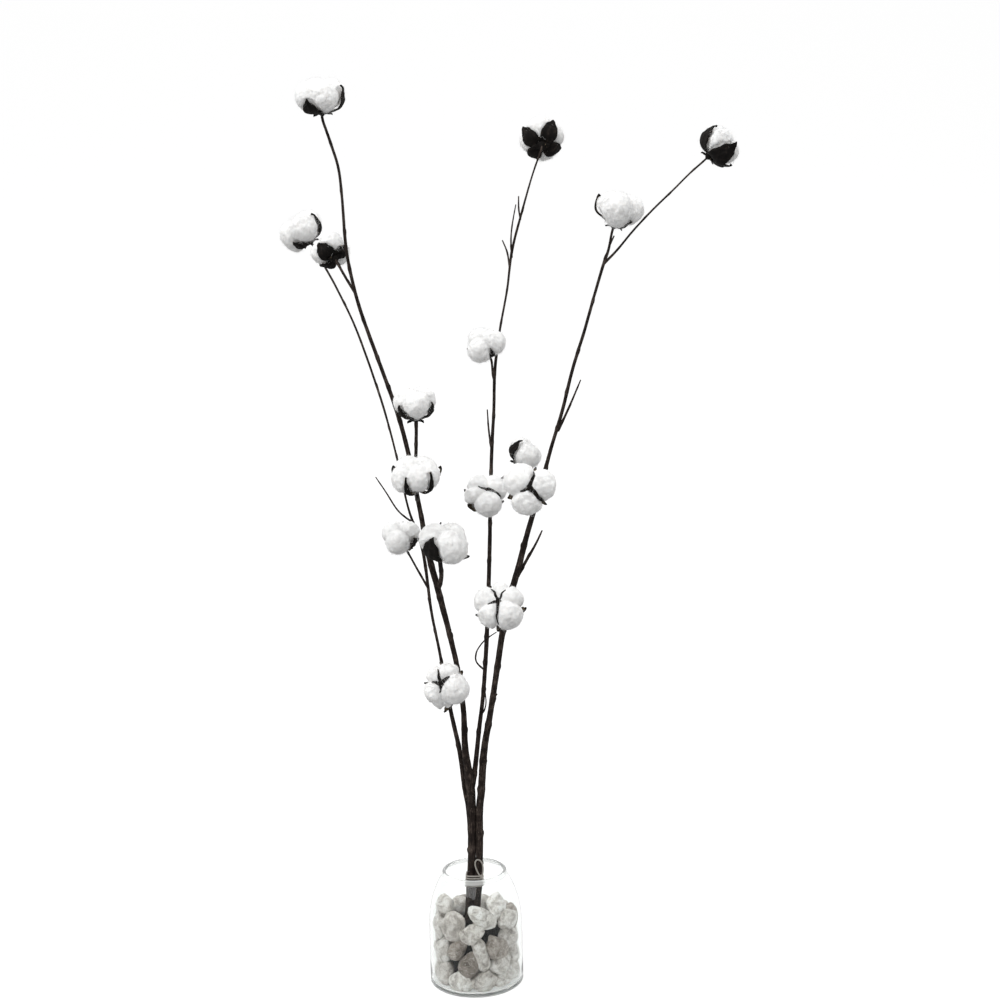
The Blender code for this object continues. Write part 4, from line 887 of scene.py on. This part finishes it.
def jar():
    """A spun wall of glass: a thick base with a shallow dip under it, and a fire-polished rim."""
    inner = JAR_RADIUS - JAR_WALL
    profile = [(0, 0.0014), (0.012, 0.0013), (0.024, 0.0009), (0.036, 0.0002), (0.041, 0.0)]
    profile += arc_points((JAR_RADIUS - JAR_CORNER, JAR_CORNER), JAR_CORNER, -90, 0, 8)
    profile += [(JAR_RADIUS, z) for z in (0.012, 0.024, 0.040)]
    profile += shoulder_points(0.0, 20)
    profile += arc_points(RIM_CENTRE, RIM_BEAD, 20, 190, 12)
    profile += shoulder_points(JAR_WALL, 20)[::-1]
    profile += [(inner, z) for z in (0.040, 0.024)]
    profile += arc_points((inner - INNER_CORNER, JAR_FLOOR + INNER_CORNER), INNER_CORNER, 0, -90, 8)
    profile += [(0.030, JAR_FLOOR - 0.0001), (0.015, JAR_FLOOR), (0, JAR_FLOOR)]
    work = new_work()
    verts, edges = add_outline(work, [(r, 0, z) for r, z in profile])
    bmesh.ops.spin(work, geom=verts + edges, cent=(0, 0, 0), axis=(0, 0, 1), angle=2 * math.pi,
                   steps=112, use_merge=True)
    bmesh.ops.remove_doubles(work, verts=work.verts, dist=0.00001)
    bmesh.ops.recalc_face_normals(work, faces=work.faces)
    # the lip and the base take the milky glass, which paints a highlight on both edges
    for face in work.faces:
        height = face.calc_center_median().z
        face.material_index = 1 if height > RIM_START or height < BASE_TOP else 0
    add_piece("clear_jar", work, [GLASS, PAINTED_HIGHLIGHT_GLASS], "glass_jar")


def jar_inside(height):
    """Inner radius of the jar at a height."""
    inner = shoulder_points(JAR_WALL, 24)
    if height <= inner[0][1]:
        return JAR_RADIUS - JAR_WALL
    for low, high in zip(inner, inner[1:]):
        if height <= high[1]:
            part = (height - low[1]) / (high[1] - low[1])
            return low[0] + (high[0] - low[0]) * part
    return inner[-1][0]


# ------------------------------------------------------------------ pebbles
# Tone of each stone at the front and of each on top, from dark (0) to pale (1).
FRONT_TONES = (0.88, 0.72, 0.45, 0.55, 0.70, 0.62, 0.66, 0.28, 0.32, 0.60, 0.10, 0.70, 0.66, 0.50, 0.80, 0.56,
               0.72, 0.80, 0.72)
TOP_TONES = (0.66, 0.95, 0.60, 0.70, 0.75, 0.78)
# Stones lying on top: middle, half sizes (long, wide, deep) and lean in degrees.
TOP_STONES = [
    ((-0.0305, -0.0040, 0.0805), (0.0128, 0.0102, 0.0092), 78),
    ((0.0215, -0.0130, 0.0830), (0.0128, 0.0118, 0.0092), 20),
    ((0.0260, 0.0150, 0.0690), (0.0120, 0.0100, 0.0095), 10),
    ((-0.0180, 0.0230, 0.0690), (0.0120, 0.0105, 0.0095), -20),
    ((0.0040, 0.0290, 0.0680), (0.0120, 0.0100, 0.0095), 15),
    ((-0.0215, -0.0160, 0.0690), (0.0110, 0.0100, 0.0090), 30),
]


def pebble_places():
    """Way round the ring, height, half sizes and lean of each pebble of the ring.

    The stones at the front lie where they are set. The rest settle until neighbours just meet.
    """
    draw = random.Random(SEED)
    per_radian = PEBBLE_RING_LENGTH / (2 * math.pi)
    fixed = [(math.radians(turn) * per_radian, height, 0.5 * (long_half + wide_half))
             for turn, height, long_half, wide_half, lean in FRONT_STONES]
    stones = []
    for _ in range(PEBBLE_COUNT):
        size = draw.uniform(0.0090, 0.0122)
        stones.append([draw.uniform(0.25, 2.9) * per_radian, draw.uniform(0.012, 0.080), size])
    for _ in range(SETTLING_STEPS):
        for stone in stones:
            stone[1] -= SETTLING_DROP
        for i, one in enumerate(stones):
            for two in stones[:i] + fixed:
                along = one[0] - two[0]
                along -= PEBBLE_RING_LENGTH * round(along / PEBBLE_RING_LENGTH)
                up = one[1] - two[1]
                apart = math.hypot(along, up) + 1e-9
                overlap = 0.93 * (one[2] + two[2]) - apart
                if overlap > 0:
                    loose = isinstance(two, list)
                    push = (0.5 if loose else 1.0) * overlap / apart
                    one[0] += along * push
                    one[1] += up * push
                    if loose:
                        two[0] -= along * push
                        two[1] -= up * push
        for stone in stones:
            stone[1] = max(stone[1], JAR_FLOOR + 0.9 * stone[2])
            stone[1] = min(stone[1], PEBBLE_TOP)
    places = [(math.radians(turn), height, 1.03 * long_half, wide_half, math.radians(lean))
              for turn, height, long_half, wide_half, lean in FRONT_STONES]
    for along, height, size in stones:
        places.append((along / per_radian, height, size * 1.18, size * 0.98, draw.uniform(-1.2, 1.2)))
    return places


def pebbles():
    """Dry river pebbles packed between the glass and the foam, and lying on top of it."""
    work = new_work()
    tone_layer = work.verts.layers.float.new("tone")
    draw = random.Random(SEED + 3)
    stones = []
    for place in pebble_places():
        outer = jar_inside(place[1] + 0.5 * place[3]) - 0.0008
        deep_half = min(0.5 * (outer - FOAM_SIDE), 0.0100)
        stones.append((place, FOAM_SIDE, outer - deep_half, deep_half))
    tones = list(FRONT_TONES) + [draw.betavariate(3.0, 2.0) for _ in range(PEBBLE_COUNT)] + list(TOP_TONES)
    for (x, y, z), (long_half, wide_half, deep_half), lean in TOP_STONES:
        place = (math.atan2(y, x), z, long_half, wide_half, math.radians(lean))
        stones.append((place, TOP_INNER, math.hypot(x, y), deep_half))
    for index, (stone, tone) in enumerate(zip(stones, tones)):
        add_stone(work, tone_layer, stone, tone, index)
    add_piece("river_pebbles", work, [STONE], "pebbles")


def add_stone(work, tone_layer, stone, tone, index):
    """One pebble: a block worn round, with flats, dents and grit, bent to lie along the glass."""
    draw = random.Random(SEED + 50 + index)
    (turn, height, long_half, wide_half, lean), inner, middle, deep_half = stone
    cuts = [(any_way(draw), draw.uniform(0.62, 0.90)) for _ in range(STONE_CUTS)]
    shift = Vector((index * 1.7, 0, 0))
    made = bmesh.ops.create_icosphere(work, subdivisions=4, radius=1.0)
    for v in made["verts"]:
        way = v.co.normalized()
        total = 1.0
        for facet, level in cuts:
            facing = way.dot(facet)
            if facing > 0.05:
                total += (facing / level) ** CUT_SHARPNESS
        reach = 1.22 * total ** (-1 / CUT_SHARPNESS)
        reach += 0.09 * noise.noise(way * 1.3 + shift) + 0.05 * noise.noise(way * 3.1 + shift)
        reach += 0.022 * noise.noise(way * 7 + shift) + 0.014 * noise.noise(way * 13 + shift)
        along = way.x * long_half * reach
        beside = way.y * wide_half * reach
        angle = turn + (along * math.cos(lean) - beside * math.sin(lean)) / middle
        rise = along * math.sin(lean) + beside * math.cos(lean)
        ring = middle + way.z * deep_half * min(reach, 1.04)
        v.co = keep_between(Vector((ring * math.cos(angle), ring * math.sin(angle), height + rise)), inner)
        v[tone_layer] = tone


def keep_between(spot, inner):
    """Move a stone's point off the glass, the jar's floor and the foam block."""
    height = max(spot.z, JAR_FLOOR + 0.0002)
    flat = Vector((spot.x, spot.y))
    outer = jar_inside(height) - 0.0006
    if height < JAR_FLOOR + INNER_CORNER:
        rise = (JAR_FLOOR + INNER_CORNER - height) / INNER_CORNER
        outer -= INNER_CORNER * (1 - math.sqrt(max(0.0, 1 - rise * rise)))
    if height < FOAM_TOP + 0.0006:
        inner = FOAM_SIDE
    flat = flat.normalized() * min(max(flat.length, inner), outer)
    return Vector((flat.x, flat.y, height))


# ------------------------------------------------------------------ twine
def stem_at(route, height):
    """Middle and radius of a stem at a height."""
    stations = smooth_route(route, 0.008)
    for (low, thin), (high, thick) in zip(stations, stations[1:]):
        if low.z <= height <= high.z:
            part = (height - low.z) / (high.z - low.z)
            return low.lerp(high, part), thin + (thick - thin) * part
    return stations[0]


def wrap_point(turn, height, clear):
    """Point on a taut loop round the three stems, on the side facing the given turn."""
    out = Vector((math.cos(turn), math.sin(turn), 0))
    held = [stem_at(route, height) for route in (LEFT_STEM, FORKED_STEM, RIGHT_STEM)]
    middle, radius = max(held, key=lambda held_stem: held_stem[0].dot(out) + held_stem[1])
    return Vector((middle.x, middle.y, height)) + out * (radius + clear)


def add_plies(work, path):
    """Three plies laid round each other along a path, which is what makes it twine."""
    points = [p for p, _ in smooth_route([(*p, 1.0) for p in path], 0.0005)]
    for ply in range(3):
        strand = []
        for point, (across, beside, length) in zip(points, carried_axes(points)):
            turn = 2 * math.pi * (length / PLY_LAY + ply / 3)
            way = math.cos(turn) * across + math.sin(turn) * beside
            strand.append((point + way * PLY_OFFSET, PLY_RADIUS))
        add_tube(work, strand, 6)


def twine():
    """The tie: twine wound round the stems, a small knot, the loop standing up and a short end."""
    winding = []
    steps = 20
    for i in range(round(TIE_TURNS * steps) + 1):
        turn = KNOT_TURN + 2 * math.pi * (i / steps - TIE_TURNS)
        height = TIE_BOTTOM + TIE_PITCH * i / steps
        winding.append(wrap_point(turn, height, TWINE_RADIUS + GAP))
    knot_middle = wrap_point(KNOT_TURN, winding[-1].z, KNOT_RADIUS + 2 * GAP)
    work = new_work()
    add_plies(work, winding)
    knot = []
    for i in range(25):
        t = 2 * math.pi * i / 24
        knot.append(knot_middle + KNOT_SPREAD * Vector((math.sin(t) + 2 * math.sin(2 * t),
                                                        -0.9 * math.sin(3 * t) - 0.4,
                                                        math.cos(t) - 2 * math.cos(2 * t))))
    add_plies(work, knot)
    loop = []
    for i in range(23):
        turn = math.radians(-80 + 340 * i / 22)
        rise = LOOP_HEIGHT * (0.95 + math.sin(turn))
        loop.append(knot_middle + Vector((LOOP_WIDTH * math.cos(turn) * (0.6 + 0.4 * rise / LOOP_HEIGHT)
                                          - 0.16 * rise, -0.0008, rise)))
    add_plies(work, loop)
    end = [knot_middle + Vector(p) for p in ((0, -0.0006, 0), (0.0016, -0.0014, -0.0016),
                                             (0.0026, -0.0016, -0.0038), (0.0028, -0.0012, -0.0058))]
    add_plies(work, end)
    bmesh.ops.recalc_face_normals(work, faces=work.faces)
    draw = random.Random(SEED + 9)
    anchors = winding + loop

    def rooting():
        """Where one loose hair of the twine starts, how it runs and lifts, its side and its breadth."""
        root = draw.choice(anchors)
        way = any_way(draw)
        other = way.orthogonal().normalized()
        return (root + way * 0.0006, way * draw.uniform(0.0006, 0.0016), other * 0.0004, other, 0.00008)

    add_hairs(work, TWINE_HAIRS, rooting)
    add_piece("jute_tie", work, [TWINE], "twine_tie")


# ------------------------------------------------------------------ build
for number, boll in enumerate(BOLLS, 1):
    cotton_head(number, boll)
    bur(number, boll)
stems()
jar()
pebbles()
twine()
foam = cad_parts["foam_block"]
foam.data.materials.clear()
foam.data.materials.append(FOAM)


# ------------------------------------------------------------------ floor, light and camera
def stage():
    """A pale seamless floor and back wall, evenly lit from behind."""
    # opal acrylic glows by itself and takes only a faint shade where the jar stands on it
    acrylic, _, _ = new_material("backlit_opal_acrylic", Base_Color=linear("#808080"), Roughness=0.9,
                                 Specular_IOR_Level=0.1, Emission_Color=linear("#ffffff"),
                                 Emission_Strength=0.84)
    # with several level points the rounding leaves the floor flat under the jar
    profile = [(y, FLOOR) for y in (-5.0, -2.5, 0.0, 1.2, 2.2)] + [(2.9, 0.25), (3.2, 0.95), (3.2, 5.0)]
    work = bmesh.new()
    _, edges = add_outline(work, [(-5.0, y, z) for y, z in profile])
    swept = bmesh.ops.extrude_edge_only(work, edges=edges)
    moved = [g for g in swept["geom"] if isinstance(g, bmesh.types.BMVert)]
    bmesh.ops.translate(work, verts=moved, vec=(10.0, 0, 0))
    bmesh.ops.recalc_face_normals(work, faces=work.faces)
    sweep = make_object("backdrop", work, [acrylic])
    smooth = sweep.modifiers.new("round", "SUBSURF")
    smooth.levels = 3
    smooth.render_levels = 3
    sweep.visible_diffuse = False
    sweep.visible_glossy = False


def add_light(name, place, aim, size, power):
    """A square soft light at a place, aimed at a point."""
    data = bpy.data.lights.new(name, "AREA")
    data.size = size
    data.energy = power
    light = put_in_scene(name, data)
    light.location = place
    light.rotation_euler = (Vector(aim) - Vector(place)).to_track_quat("-Z", "Y").to_euler()


def bright_room():
    """A white room round the part: brightest overhead, and grey below and on the viewer's side."""
    world = bpy.data.worlds.new("bright_room")
    bpy.context.scene.world = world
    world.use_nodes = True
    add = partial(add_node, world.node_tree)
    way = add("TexCoord")
    apart = add("SeparateXYZ", Vector=(way, "Generated"))
    depth = add("MapRange", Value=(apart, "Y"), From_Min=-1.0, From_Max=-0.1, To_Min=0.38, To_Max=1.10)
    height = add("MapRange", Value=(apart, "Z"), From_Min=-1.0, From_Max=1.0, To_Min=0.45, To_Max=1.30)
    feed(world.node_tree.nodes["Background"], Color=(height, "Result"), Strength=(depth, "Result"))


def front_camera():
    """A long lens, level with the upper bolls and looking slightly down on the jar."""
    data = bpy.data.cameras.new("front_view")
    data.lens = 62.75
    data.sensor_width = 36.0
    camera = put_in_scene("front_view", data)
    camera.location = (0.0351, -1.696, 0.798)
    tilt = Matrix.Rotation(math.radians(90 - 9.9), 4, "X")
    roll = Matrix.Rotation(-0.0231, 4, "Z")
    camera.rotation_euler = (tilt @ roll).to_euler()
    bpy.context.scene.camera = camera
    bpy.context.scene.view_settings.view_transform = "Standard"


stage()
bright_room()
add_light("soft_top", (-0.6, -1.3, 2.0), (0.0, 0.0, 0.3), 2.2, 40)
front_camera()
